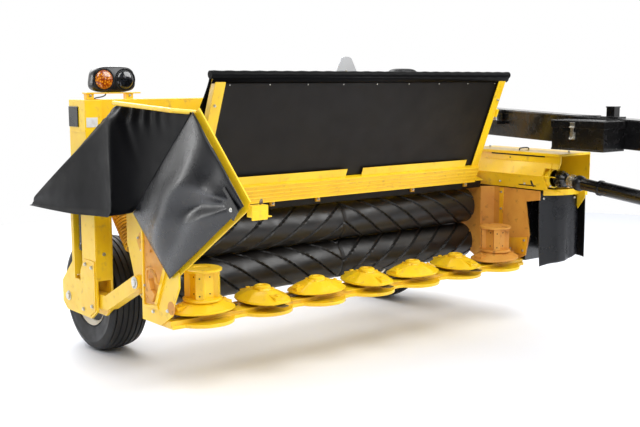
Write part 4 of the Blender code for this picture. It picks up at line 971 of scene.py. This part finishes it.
def leg_fittings(side):
    """Gussets, cover plates, weld beads and bolts on one leg, and the glands of its cylinder."""
    name = hand(side)
    low, high = limits(f"leg_{name}")
    outer, inner = (high.x, low.x) if side > 0 else (low.x, high.x)
    plates, bolts, beads = bmesh.new(), bmesh.new(), bmesh.new()
    for x, out in ((outer, side), (inner, -side)):
        near, far = sorted((x, x + out * 0.006))
        prism(plates, [(-0.365, 0.345), (-0.290, 0.297), (-0.180, 0.297), (-0.180, 0.560), (-0.230, 0.640),
                       (-0.365, 0.640)], "YZ", near, far)
        for y, z in ((-0.330, 0.365), (-0.335, 0.600), (-0.215, 0.330), (-0.255, 0.610)):
            bolt(bolts, (x + out * 0.006, y, z), (out, 0, 0), 0.018)
        spin(bolts, [(0.030, 0.0), (0.030, 0.004), (0.021, 0.006), (0.021, 0.013), (0, 0.014)],
             (x, 0.0, 0.375),
             (out, 0, 0), 24)
        near, far = sorted((x, x + out * 0.003))
        slab(plates, (near, -0.300, 1.395), (far, -0.100, 1.408))
    for share in range(6):
        z = 0.70 + 0.09 * share
        rivet(bolts, (inner, -0.350, z), (-side, 0, 0), 0.006)
    fold = sorted((inner, inner - side * 0.0025))
    slab(plates, (fold[0], -0.377, 0.645), (fold[1], -0.366, 1.045))
    front = -0.377
    slab(plates, (min(low.x, high.x) + 0.006, front - 0.003, 0.66), (min(low.x, high.x) + 0.014, front, 1.03))
    slab(plates, (max(low.x, high.x) - 0.014, front - 0.003, 0.66), (max(low.x, high.x) - 0.006, front, 1.03))
    for z in (0.68, 1.01):
        bolt(bolts, ((low.x + high.x) / 2, front, z), (0, -1, 0), 0.016)
    beam_end = inner
    tube(beads, [(beam_end - side * 0.002, -0.278, 1.412 + 0.0215 * k) for k in range(9)], 0.005, 8)
    tube(beads, [(beam_end - side * 0.002, -0.270 + 0.0188 * k, 1.5835) for k in range(9)], 0.005, 8)
    piece(f"leg_{name}_plates", plates, YELLOW, "frame", edge=0.0015)
    piece(f"leg_{name}_bolts", bolts, ZINC, "frame")
    # painted shade: the weld beads take the darker yellow that stands for shade
    piece(f"leg_{name}_welds", beads, YELLOW_IN_SHADE, "frame", smooth=60)
    glands = bmesh.new()
    x, y = (low.x + high.x) / 2, -0.146
    spin(glands, [(0.0205, 0.672), (0.034, 0.674), (0.0425, 0.680), (0.0425, 0.716), (0.0405, 0.720)],
         (x, y, 0),
         (0, 0, 1), 32)
    spin(glands, [(0.0405, 1.130), (0.0425, 1.134), (0.0425, 1.182), (0.030, 1.189)], (x, y, 0), (0, 0, 1),
         32)
    piece(f"lift_cylinder_{name}_glands", glands, BLACK, "frame", smooth=40)


def link_fittings(side):
    """Collars, keeper plates and grease nipples on the pins of a lift link."""
    name = hand(side)
    low, high = limits(f"lower_link_{name}")
    outer = high.x if side > 0 else low.x
    shape = bmesh.new()
    spin(shape, [(0.034, -0.003), (0.034, 0.001), (0.020, 0.003), (0.020, 0.008), (0, 0.009)],
         (outer, -0.822, 0.588),
         (side, 0, 0), 28)
    bolt(shape, (outer, -0.822, 0.563), (side, 0, 0), 0.009)
    spin(shape, [(0.004, -0.001), (0.004, 0.005), (0.0025, 0.008), (0, 0.009)], (side * 1.39, -0.822, 0.6215),
         (0, -0.3, 1), 10)
    piece(f"lower_link_{name}_keepers", shape, ZINC, "lift_links")


def beam_fittings():
    """The blank plate, the side reflector and the bolted pads on the frame's right end and lamp brackets."""
    plate = bmesh.new()
    slab(plate, (-1.438, -0.3016, 1.425), (-1.366, -0.3000, 1.482))
    piece("blank_plate", plate, PLATE, "frame", edge=0.0006)
    pad = bmesh.new()
    slab(pad, (-1.452, -0.215, 1.425), (-1.445, -0.095, 1.545))
    piece("side_reflector", pad, HOUSING, "frame", edge=0.003)
    shape = bmesh.new()
    for side in (-1, 1):
        for u in (0.15, -0.11):
            bolt(shape, (side * (1.215 + u), -0.215, 1.606), (0, -1, 0), 0.012)
        for k in range(4):
            bolt(shape, (side * (1.30 - 0.12 * k), -0.280, 1.440), (0, -1, 0), 0.016)
    for x in (0.762, 0.838):
        bolt(shape, (x, -0.300, 1.4905), (0, 0, 1), 0.014)
    piece("frame_bolts", shape, ZINC, "frame")
    tubes = bmesh.new()
    for z in (1.497, 1.470):
        tube(tubes, rounded([(0.62, -0.288, z), (0.55, -0.289, z), (-1.15, -0.289, z),
                             (-1.235, -0.286, z + 0.004)]), 0.006,
             10)
    piece("oil_lines", tubes, BLACK, "frame", smooth=60)
    clips = bmesh.new()
    for k in range(5):
        slab(clips, (0.40 - 0.38 * k, -0.298, 1.460), (0.425 - 0.38 * k, -0.280, 1.507))
    piece("oil_line_clips", clips, ZINC, "frame", edge=0.002)


# ---- header: covers, plates and drive -----------------------------------------------------------
def cover_details():
    """Edge lips, folds, slots, bolts and the handle of the drive cover."""
    low, high = limits("drive_cover")
    lips = bmesh.new()
    front, rear, top = low.y, high.y, high.z
    slab(lips, (1.396, front - 0.001, top - 0.004), (high.x + 0.001, rear, top + 0.003))
    slab(lips, (high.x - 0.006, front - 0.004, 0.946), (high.x, front + 0.002, top))
    slab(lips, (1.412, front - 0.004, top - 0.012), (high.x, front + 0.002, top - 0.002))
    slab(lips, (1.392, front, top - 0.016), (1.400, rear - 0.02, top + 0.003))
    ridge = [(1.398, 1.146), (1.350, 1.056), (1.3495, 1.046), (1.352, 1.044), (1.402, 1.138)]
    prism(lips, ridge, "XZ", front + 0.06, front + 0.064)
    prism(lips, [(1.4015, 1.1415), (1.3965, 1.1415), (1.3955, 1.1365), (1.4000, 1.1360)], "XZ", front, rear)
    prism(lips, [(1.3540, 1.0530), (1.3485, 1.0520), (1.3485, 1.0460), (1.3545, 1.0460)], "XZ", front, rear)
    piece("drive_cover_folds", lips, YELLOW, "header", edge=0.0012)
    # painted shadow: dark slabs stand for the shadow under the lips over the slits, and a dark disc for a hole
    slots = bmesh.new()
    slab(slots, (1.3990, -1.400, top - 0.0255), (1.4040, -0.93, top - 0.0165))
    slab(slots, (1.4005, -1.330, 0.968), (1.4027, -1.180, 0.976), Matrix.Rotation(math.radians(-33), 4, "Y"))
    spin(slots, [(0.0052, 0.0), (0.0052, 0.0014), (0, 0.0014)], (1.3995, -1.10, 1.158), (-1, 0, 0), 14)
    piece("drive_cover_slot_shade", slots, SHADE_IN_GAPS, "header")
    heads = bmesh.new()
    for y in (-1.46, -1.24, -1.02, -0.80):
        bolt(heads, (1.394, y, 0.985), (-0.84, 0, -0.54), 0.012)
    for z in (0.975, 1.075, 1.170):
        bolt(heads, (high.x, -1.49, z), (1, 0, 0), 0.012)
        bolt(heads, (high.x, -0.72, z), (1, 0, 0), 0.012)
    for y in (-1.45, -0.74):
        bolt(heads, (1.60, y, top + 0.003), (0, 0, 1), 0.014)
    piece("drive_cover_bolts", heads, ZINC, "header")
    strap = bmesh.new()
    tube(strap, rounded([(1.50, -1.10, top + 0.002), (1.50, -1.10, top + 0.018), (1.60, -1.10, top + 0.018),
                         (1.60, -1.10, top + 0.002)], 2), 0.005, 10)
    piece("drive_cover_handle", strap, BLACK, "header", smooth=50)


def gearbox_details():
    """Cooling ribs, a bearing cap with bolts and a filler plug on the gearbox, and the input shaft's guard."""
    shape = bmesh.new()
    for k in range(6):
        z = 0.885 + 0.040 * k
        slab(shape, (1.450, -1.308, z), (1.655, -1.300, z + 0.010))
    spin(shape, [(0.085, 0.0), (0.085, 0.012), (0.060, 0.022), (0.036, 0.026)], (1.46, -1.300, 1.03),
         (0, -1, 0), 36)
    for dx, dz in circle(0.070, 6):
        bolt(shape, (1.46 + dx, -1.312, 1.03 + dz), (0, -1, 0), 0.013)
    bolt(shape, (1.60, -1.16, 1.120), (0, 0, 1), 0.022)
    piece("gearbox_castings", shape, BLACK, "header", smooth=35)
    guard = bmesh.new()
    spin(guard, [(0.058, 0.0), (0.064, 0.0), (0.066, 0.004), (0.066, 0.110), (0.070, 0.128), (0.066, 0.130),
                 (0.058, 0.112),
                 (0.058, 0.0)], (1.46, -1.446, 1.03), (0, 1, 0), 40)
    piece("input_shaft_guard", guard, YELLOW, "header", smooth=40)


def left_flap():
    """The flap ahead of the drive: heavy rubberised sheet, bent round the corner, its foot cut on a slant."""
    high = limits("corner_flap_left")[1]
    line = rounded([(1.4500, -1.322, 0), (1.50, -1.352, 0), (1.58, -1.398, 0), (1.66, -1.422, 0),
                    (1.752, -1.432, 0)], 2)

    def point(u, v):
        at = along(line, u)
        top = high.z - 0.004 - 0.044 * ease(u, 0.80, 0.90)
        foot = 0.402 + 0.070 * u + 0.006 * math.sin(7 * u)
        swell = v * (0.014 * hump(u, 0.72,
                                  0.10) - 0.016 * math.sin(math.pi * u) - 0.010 * hump(u, 0.35, 0.12))
        return at.x, at.y + swell - 0.020 * v * v * (1 - u), top + (foot - top) * v

    cloth = piece("left_flap_sheet", net(point, 40, 40), GLOSS_VINYL, "header", smooth=180, wall=0.004)
    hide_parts("corner_flap_left")
    heads = bmesh.new()
    for share in (0.10, 0.86):
        at = along(line, share)
        rivet(heads, (at.x - 0.001, at.y - 0.0055, 0.880), (-0.45, -1, 0), 0.009)
    piece("left_flap_rivets", heads, ZINC, "header")


def left_curtain():
    """The left side curtain: plain sheet, hung from its rail in shallow waves."""
    low, high = limits("side_curtain_left")
    x = (low.x + high.x) / 2

    def point(u, v):
        wave = 0.016 * ease(v, 0.02, 1.0) * (0.6 * math.sin(21 * u) + 0.4 * math.sin(9 * u + 1))
        drop = high.z - low.z - 0.006 * math.sin(21 * u) - 0.004
        return x + 0.0015 + wave, low.y + (high.y - low.y) * u, high.z - drop * v

    cloth = piece("left_curtain_cloth", net(point, 96, 40), VINYL, "header", smooth=180, wall=0.0022)
    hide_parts("side_curtain_left")
    heads = bmesh.new()
    for k in range(7):
        bolt(heads, (x + 0.003, low.y + 0.05 + 0.183 * k, high.z - 0.018), (1, 0, 0), 0.012)
    piece("left_curtain_bolts", heads, ZINC, "header")


def end_plate_details():
    """Stiffening folds, bearing flanges of the rolls and bolts on both end plates."""
    steel, plates = bmesh.new(), bmesh.new()
    for side in (-1, 1):
        x = side * 1.345
        for y, z in ((-0.785, 0.802), (-0.770, 0.545)):
            face = x + side * 0.005
            prism(plates, [(y + dy, z + dz) for dy, dz in circle(0.060, 6)], "YZ",
                  *sorted((face, face + side * 0.010)))
            for dy, dz in circle(0.044, 3, 0.5):
                bolt(steel, (face + side * 0.010, y + dy, z + dz), (side, 0, 0), 0.011)
        inner = side * (1.44 - 0.005)
        near, far = sorted((inner, inner - side * 0.005))
        prism(plates, [(-1.235, 0.475), (-0.955, 0.475), (-0.955, 0.560), (-1.245, 0.600)], "YZ", near, far)
        slab(plates, (near, -1.02, 0.60), (far, -0.985, 0.93))
        for y, z in ((-1.21, 0.50), (-1.10, 0.50), (-0.98, 0.50), (-1.22, 0.575), (-0.98, 0.54),
                     (-1.0025, 0.66),
                     (-1.0025, 0.78), (-1.0025, 0.90)):
            bolt(steel, (inner - side * 0.005, y, z), (-side, 0, 0), 0.013)
        outer = side * (1.44 + 0.005)
        if side < 0:
            for y, z in ((-1.20, 0.50), (-1.05, 0.47), (-0.96, 0.60), (-1.15, 0.80)):
                bolt(steel, (outer, y, z), (side, 0, 0), 0.015)
    # painted shade: the braces take the darker yellow that stands for shade
    piece("end_plate_braces", plates, YELLOW_IN_SHADE, "header", edge=0.0012)
    pocket, panel, latch = bmesh.new(), bmesh.new(), bmesh.new()
    prism(pocket, [(-0.962, 0.885), (-1.065, 0.892), (-1.205, 0.765), (-1.085, 0.515), (-0.962, 0.500)],
          "YZ", -1.4466, -1.4445)
    prism(panel, [(-1.060, 0.905), (-1.190, 0.758), (-1.075, 0.518), (-1.098, 0.510), (-1.222, 0.760),
                  (-1.080, 0.905)],
          "YZ", -1.4560, -1.4445)
    prism(panel, [(-1.098, 0.512), (-0.956, 0.494), (-0.956, 0.476), (-1.110, 0.492)], "YZ", -1.4530, -1.4445)
    slab(panel, (-1.4560, -0.9640, 0.494), (-1.4445, -0.9520, 0.905))
    tube(latch, rounded([(-1.450, -1.030, 0.610), (-1.472, -1.030, 0.622), (-1.472, -1.030, 0.714),
                         (-1.472, -1.120, 0.700),
                         (-1.472, -1.128, 0.640), (-1.450, -1.128, 0.632)], 3), 0.0075, 10)
    slab(latch, (-1.4660, -1.090, 0.545), (-1.4460, -1.000, 0.600), Matrix.Rotation(0.5, 4, "X"))
    slab(latch, (-1.4720, -1.060, 0.590), (-1.4460, -1.035, 0.650), Matrix.Rotation(-0.35, 4, "X"))
    for y, z in ((-1.038, 0.835), (-1.038, 0.798), (-1.122, 0.793), (-0.995, 0.545), (-1.000, 0.700),
                 (-1.075, 0.565)):
        bolt(latch, (-1.4466, y, z), (-1, 0, 0), 0.014)
    spin(pocket, [(0.036, 0.0), (0.036, 0.0022), (0.030, 0.0026), (0, 0.0026)], (-1.4445, -1.235, 0.520),
         (-1, 0, 0), 28)
    # painted shade: the pocket and its latch take the browner yellow for the shade in the recess
    piece("end_pocket", pocket, YELLOW_IN_DEEP_SHADE, "header")
    piece("end_pocket_frame", panel, YELLOW, "header", edge=0.0015)
    piece("end_pocket_latch", latch, YELLOW_IN_DEEP_SHADE, "header", smooth=40, edge=0.001)
    piece("end_plate_bolts", steel, ZINC, "header")


def hood_details():
    """Cross ribs over the rolls, and the rubber strip below the shield's hinge with its brackets."""
    ribs = bmesh.new()
    for x in (-1.15, -0.60, -0.20, 0.20, 0.60, 1.15):
        prism(ribs, [(-0.885, 0.989), (-0.800, 1.0165), (-0.800, 1.030), (-0.630, 1.024), (-0.630, 1.0105),
                     (-0.800, 1.0155)], "YZ", x - 0.012, x + 0.012)
    piece("hood_ribs", ribs, YELLOW, "header", edge=0.001)

    def point(u, v):
        wave = 0.005 * v * math.sin(79.2 * u) + 0.003 * math.sin(32.56 * u)
        return -1.32 + 2.64 * u, -0.905 + 0.010 * v + wave, 0.986 - 0.052 * v

    sheet = piece("hinge_seal_strip", net(point, 88, 8), MATTING, "header", smooth=180, wall=0.003)
    brackets, pins = bmesh.new(), bmesh.new()
    for x in (-1.17, -0.55, -0.20, 0.62, 1.14):
        slab(brackets, (x - 0.016, -0.918, 0.952), (x + 0.016, -0.906, 0.986))
        bolt(pins, (x, -0.918, 0.968), (0, -1, 0), 0.012)
    # painted shade: the brackets under the strip take the darker yellow that stands for shade
    piece("strip_brackets", brackets, YELLOW_IN_SHADE, "header", edge=0.001)
    piece("strip_bolts", pins, ZINC, "header")


# ---- driveline, tongue, jack --------------------------------------------------------------------
INPUT = Vector((1.46, -1.51, 1.03))
FRONT_JOINT = Vector((1.36, -3.70, 0.80))


def driveline():
    """The safety cone over the joint, the slotted steel collar behind it and the ribbed guard tube."""
    run = (FRONT_JOINT - INPUT).normalized()
    cone = bmesh.new()
    spin(cone, [(0.057, -0.030), (0.060, -0.020), (0.0605, -0.008), (0.0570, 0.004), (0.0570, -0.028)], INPUT,
         (0, -1, 0), 40)
    for dx, dz in circle(0.052, 4, 0.4):
        slab(cone, INPUT + Vector((dx - 0.009, -0.020, dz - 0.009)),
             INPUT + Vector((dx + 0.009, 0.030, dz + 0.009)))
    piece("driveline_joint_yoke", cone, BLACK, "driveline_cross", smooth=40)
    collar = bmesh.new()
    spin(collar,
         [(0.037, 0.060), (0.041, 0.062), (0.041, 0.082), (0.037, 0.084), (0.037, 0.090), (0.042, 0.092),
                  (0.042, 0.112), (0.038, 0.114)], INPUT, run, 44)
    facing = run.to_track_quat("Z", "Y").to_matrix().to_4x4()
    for k in range(8):
        turn = Matrix.Rotation(math.tau * k / 8, 4, "Z")
        place = Matrix.Translation(INPUT) @ facing @ turn
        bmesh.ops.create_cube(collar, size=1, matrix=place @ Matrix.Translation((0.0435, 0, 0.087))
                              @ Matrix.Diagonal((0.006, 0.010, 0.034, 1)))
    piece("driveline_slotted_collar", collar, ZINC, "driveline", smooth=30)
    guard = bmesh.new()
    spin(guard,
         [(0.041, 0.120), (0.049, 0.122), (0.052, 0.130), (0.052, 0.156), (0.044, 0.172), (0.0405, 0.176)],
         INPUT, run, 44)
    for near in (0.305, 1.05, 1.96):
        spin(guard, [(0.0475, near), (0.0515, near + 0.003), (0.0515, near + 0.020), (0.0475, near + 0.023)],
             INPUT, run,
             44)
    for k in range(10):
        near = 2.005 + 0.011 * k
        r = 0.0478 + (near - 2.0) / 0.13 * 0.0145
        spin(guard, [(r, near), (r + 0.004, near + 0.004), (r + 0.001, near + 0.008)], INPUT, run, 40)
    piece("driveline_guard_rings", guard, HOUSING, "driveline", smooth=40)


def tongue_details():
    """Weld beads, the pivot pin's head, the toolbox's lid and latch, and the post's cap."""
    x = 1.54
    beads = bmesh.new()
    for side in (-1, 1):
        tube(beads, [(x + side * 0.0735, -0.62 - 0.1 * k,
                      1.4975 - 0.038 * (0.12 + 0.1 * k)) for k in range(24)], 0.0035, 8)
    piece("tongue_seams", beads, BLACK, "tongue", smooth=60)
    low, high = limits("toolbox")
    lid = bmesh.new()
    slab(lid, (low.x - 0.006, low.y - 0.006, high.z - 0.044),
         (high.x - 0.004, high.y + 0.006, high.z + 0.004))
    slab(lid, (low.x + 0.020, low.y + 0.020, high.z + 0.003),
         (high.x - 0.024, high.y - 0.020, high.z + 0.0075))
    slab(lid, (low.x - 0.003, low.y - 0.002, low.z - 0.002), (high.x - 0.004, high.y + 0.002, low.z + 0.010))
    piece("toolbox_lid", lid, BLACK, "tongue", edge=0.005)
    latch = bmesh.new()
    y = low.y + 0.58 * (high.y - low.y)
    slab(latch, (low.x - 0.012, y - 0.017, high.z - 0.040), (low.x - 0.005, y + 0.017, high.z - 0.008))
    slab(latch, (low.x - 0.008, y - 0.020, high.z - 0.118), (low.x - 0.0005, y + 0.020, high.z - 0.072))
    slab(latch, (low.x - 0.016, y - 0.011, high.z - 0.104), (low.x - 0.008, y + 0.011, high.z - 0.030))
    tube(latch,
         rounded([(low.x - 0.016, y - 0.011, high.z - 0.100), (low.x - 0.030, y - 0.010, high.z - 0.112),
                         (low.x - 0.030, y + 0.010, high.z - 0.112),
                  (low.x - 0.016, y + 0.011, high.z - 0.100)], 2),
         0.003, 8)
    tube(latch, [(low.x - 0.015, y - 0.020, high.z - 0.038), (low.x - 0.015, y + 0.020, high.z - 0.038)],
         0.004, 10)
    piece("toolbox_latch", latch, ZINC, "tongue", edge=0.001)
    top = bmesh.new()
    spin(top, [(0.055, 0.104), (0.055, 0.112), (0.030, 0.114), (0.030, 0.128), (0.024, 0.132), (0, 0.133)],
         (x, -0.50, 1.410), (0, 0, 1), 32)
    piece("tongue_pin_head", top, ZINC, "frame")
    post = bmesh.new()
    slab(post, (x - 0.034, -1.864, 1.520), (x + 0.034, -1.796, 1.528))
    slab(post, (x - 0.045, -1.90, 1.448), (x + 0.045, -1.76, 1.462))
    slab(post, (x - 0.030, -1.72, 1.450), (x + 0.030, -1.50, 1.466))
    piece("tongue_post_cap", post, BLACK, "tongue", edge=0.002)


def jack_details():
    """The crank of the jack with its grip, and its bolted straps."""
    low, high = limits("jack_tube")
    centre = (low + high) / 2
    shape = bmesh.new()
    for z in (0.62, 1.17):
        slab(shape, (low.x - 0.001, low.y - 0.004, z - 0.018), (high.x + 0.004, high.y + 0.004, z + 0.018))
    slab(shape, (low.x - 0.0005, low.y - 0.004, high.z - 0.008),
         (high.x + 0.004, high.y + 0.004, high.z + 0.004))
    piece("jack_straps", shape, BLACK, "tongue", edge=0.002)
    crank = bmesh.new()
    z = 1.205
    tube(crank, rounded([(high.x, centre.y, z), (high.x + 0.020, centre.y, z), (high.x + 0.026, centre.y, z),
                         (high.x + 0.028, centre.y, z - 0.020), (high.x + 0.028, centre.y, z - 0.150)], 3),
         0.008, 12)
    tube(crank, [(high.x + 0.026, centre.y + 0.004, z - 0.146),
                 (high.x + 0.026, centre.y - 0.070, z - 0.146)], 0.007, 12)
    piece("jack_crank", crank, ZINC, "tongue", smooth=50)
    grip = bmesh.new()
    spin(grip, [(0.009, 0), (0.014, 0.003), (0.0155, 0.02), (0.0155, 0.075), (0.013, 0.088), (0, 0.090)],
         (high.x + 0.026, centre.y - 0.014, z - 0.146), (0, -1, 0), 24)
    piece("jack_grip", grip, HOUSING, "tongue", smooth=40)


def cylinder_details():
    """Gland nut and ports of the swing cylinder."""
    start, end = Vector((0.80, -0.340, 1.435)), Vector((1.418, -0.95, 1.435))
    run = (end - start).normalized()
    shape = bmesh.new()
    spin(shape, [(0.0205, 0.628), (0.036, 0.626), (0.0405, 0.620), (0.0405, 0.578), (0.0385, 0.574)], start,
         run, 36)
    spin(shape, [(0.0385, 0.128), (0.0405, 0.124), (0.0405, 0.082), (0.034, 0.074)], start, run, 36)
    for share in (0.11, 0.585):
        at = start + run * share + Vector((0, 0, 0.038))
        spin(shape, [(0.011, -0.004), (0.011, 0.010), (0.008, 0.012), (0.008, 0.020), (0, 0.021)], at,
             (0, 0, 1), 6)
    piece("swing_barrel_glands", shape, BLACK, "swing_cylinder", smooth=40)


def swathboard_details():
    """Ribs on the swathboard and turned lips round the tunnel's mouth."""
    shape = bmesh.new()
    rise = Vector((0, 0.30, -0.20)).normalized()
    for x in (-0.75, -0.45, -0.15, 0.15, 0.45, 0.75):
        a = Vector((x, -0.34, 0.900)) + rise * 0.05
        b = Vector((x, -0.34, 0.900)) + rise * 0.34
        up = Vector((0, 0.20, 0.30)).normalized() * 0.004
        tube(shape, [a + up, b + up], 0.007, 10)
    piece("swathboard_ribs", shape, YELLOW, "swathboard_body", smooth=50)
    lips = bmesh.new()
    for side in (-1, 1):
        near, far = sorted((side * 0.973, side * 0.998))
        slab(lips, (near, 0.085, 0.585), (far, 0.0995, 0.940))
    slab(lips, (-0.96, 0.085, 0.944), (0.96, 0.0995, 0.962))
    piece("chute_lips", lips, YELLOW, "header", edge=0.0012)
    heads = bmesh.new()
    for k in range(9):
        bolt(heads, (-0.88 + 0.22 * k, -0.05, 0.9485), (0, 0, 1), 0.012)
    piece("chute_bolts", heads, ZINC, "header")


# ---- studio -------------------------------------------------------------------------------------
LIGHTS = ((-3.6, -4.6, 5.6, 4.5, 300), (3.4, -5.6, 4.8, 4.5, 360), (0.0, 3.8, 5.0, 5.0, 300),
          (-4.8, 3.6, 2.3, 1.6, 60))                                             # metres, and watts


def studio():
    """Pale floor, four soft lights and a bright surround."""
    shape = bmesh.new()
    bmesh.ops.create_circle(shape, cap_ends=True, radius=7.5, segments=128)
    mesh = bpy.data.meshes.new("studio_floor")
    shape.to_mesh(mesh)
    shape.free()
    floor = bpy.data.objects.new("studio_floor", mesh)
    bpy.context.scene.collection.objects.link(floor)
    mesh.materials.append(finish_of("matt_studio_floor", "F0F3FA", 0.60)[0])
    world = bpy.data.worlds.new("studio_surround")
    world.use_nodes = True
    tree = world.node_tree
    place = add(tree, "ShaderNodeTexCoord").outputs["Generated"]
    ahead = add(tree, "ShaderNodeVectorMath", {"operation": "DOT_PRODUCT"}, i0=place, i1=(0.60, 0.74, 0.30))
    glow = add(tree, "ShaderNodeMapRange", Value=ahead.outputs["Value"], i1=-0.25, i2=0.35, i3=0.16, i4=1.0)
    # the backdrop itself stays white
    seen = add(tree, "ShaderNodeLightPath").outputs["Is Camera Ray"]
    level = add(tree, "ShaderNodeMath", {"operation": "MAXIMUM"}, i0=glow.outputs["Result"], i1=seen)
    tree.links.new(level.outputs["Value"], tree.nodes["Background"].inputs["Strength"])
    tree.nodes["Background"].inputs["Color"].default_value = (1, 1, 1, 1)
    bpy.context.scene.world = world
    for x, y, z, size, power in LIGHTS:
        light = bpy.data.lights.new("softbox", "AREA")
        light.shape = "SQUARE"
        light.size = size
        light.energy = power
        holder = bpy.data.objects.new("softbox", light)
        holder.location = Vector((x, y, z)) + HOME
        aim = Vector((0, -0.6, 0.8)) + HOME - holder.location
        holder.rotation_euler = aim.to_track_quat("-Z", "Y").to_euler()
        bpy.context.scene.collection.objects.link(holder)


CAMERA_AT, CAMERA_TILT, CAMERA_HEADING = (-3.997, -5.587, 1.713), 82.09, -39.23     # metres, and degrees
LENS, SENSOR = 54.99, 36                                                            # millimetres


def camera():
    """A person's eye height, from the front right."""
    lens_data = bpy.data.cameras.new("camera")
    lens_data.lens = LENS
    lens_data.sensor_width = SENSOR
    holder = bpy.data.objects.new("camera", lens_data)
    holder.location = Vector(CAMERA_AT) + HOME
    holder.rotation_euler = (math.radians(CAMERA_TILT), 0, math.radians(CAMERA_HEADING))
    bpy.context.scene.collection.objects.link(holder)
    bpy.context.scene.camera = holder


camera()
studio()
bpy.context.scene.view_settings.view_transform = "Standard"
side_curtain()
corner_flap()
end_frame_fittings()
roll("roll_upper", -1)
roll("roll_lower", 1)
for number in range(7):
    disc(number)
cutterbar_fittings()
shield_matting()
shield_curtain()
shield_folds()
sign_film()
beam_fittings()
for way in (-1, 1):
    lamp(way)
    wheel(way)
    float_spring(way)
    leg_fittings(way)
    link_fittings(way)
cover_details()
gearbox_details()
left_flap()
left_curtain()
end_plate_details()
hood_details()
driveline()
tongue_details()
jack_details()
cylinder_details()
swathboard_details()

# ---- finishes of the carried-over pieces --------------------------------------------------------
PAINTED = {
    # painted shade: the left end plate takes the browner yellow for its shade
    "end_plate_left": YELLOW_IN_DEEP_SHADE,
    "rim_": CREAM, "tyre_": TYRE_RUBBER, "roll_": ROLL_RUBBER, "lift_rod": CHROME, "swing_rod": CHROME,
    "spindle": ZINC, "lamp_": HOUSING, "warning_sign": SIGN_BACK, "shield_panel": MATTING,
    "front_curtain": VINYL,
    "side_curtain": VINYL, "end_flap": VINYL, "corner_flap": VINYL, "driveline_collar": ZINC,
    "driveline_": BLACK, "tongue_beam": BLACK, "hitch": BLACK, "toolbox": BLACK, "jack": BLACK,
    "front_bearing": BLACK, "swing_barrel": BLACK, "lift_cylinder": BLACK, "gearbox": BLACK,
}
SOFT_EDGES = {"weld": 0.00002, "bevel": 0.003}


def refinish():
    """Gives each CAD piece its finish, and a small round on its edges as folded or cut steel has."""
    for name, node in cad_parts.items():
        found = next((finish for stem, finish in PAINTED.items() if name.startswith(stem)), YELLOW)
        node.data.materials.clear()
        node.data.materials.append(found)
        weld = node.modifiers.new("weld", "WELD")
        weld.merge_threshold = SOFT_EDGES["weld"]
        edge = node.modifiers.new("edge", "BEVEL")
        edge.width = SOFT_EDGES["bevel"]
        edge.segments = 2
        edge.limit_method = "ANGLE"
        edge.angle_limit = math.radians(35)
        edge.harden_normals = True


refinish()
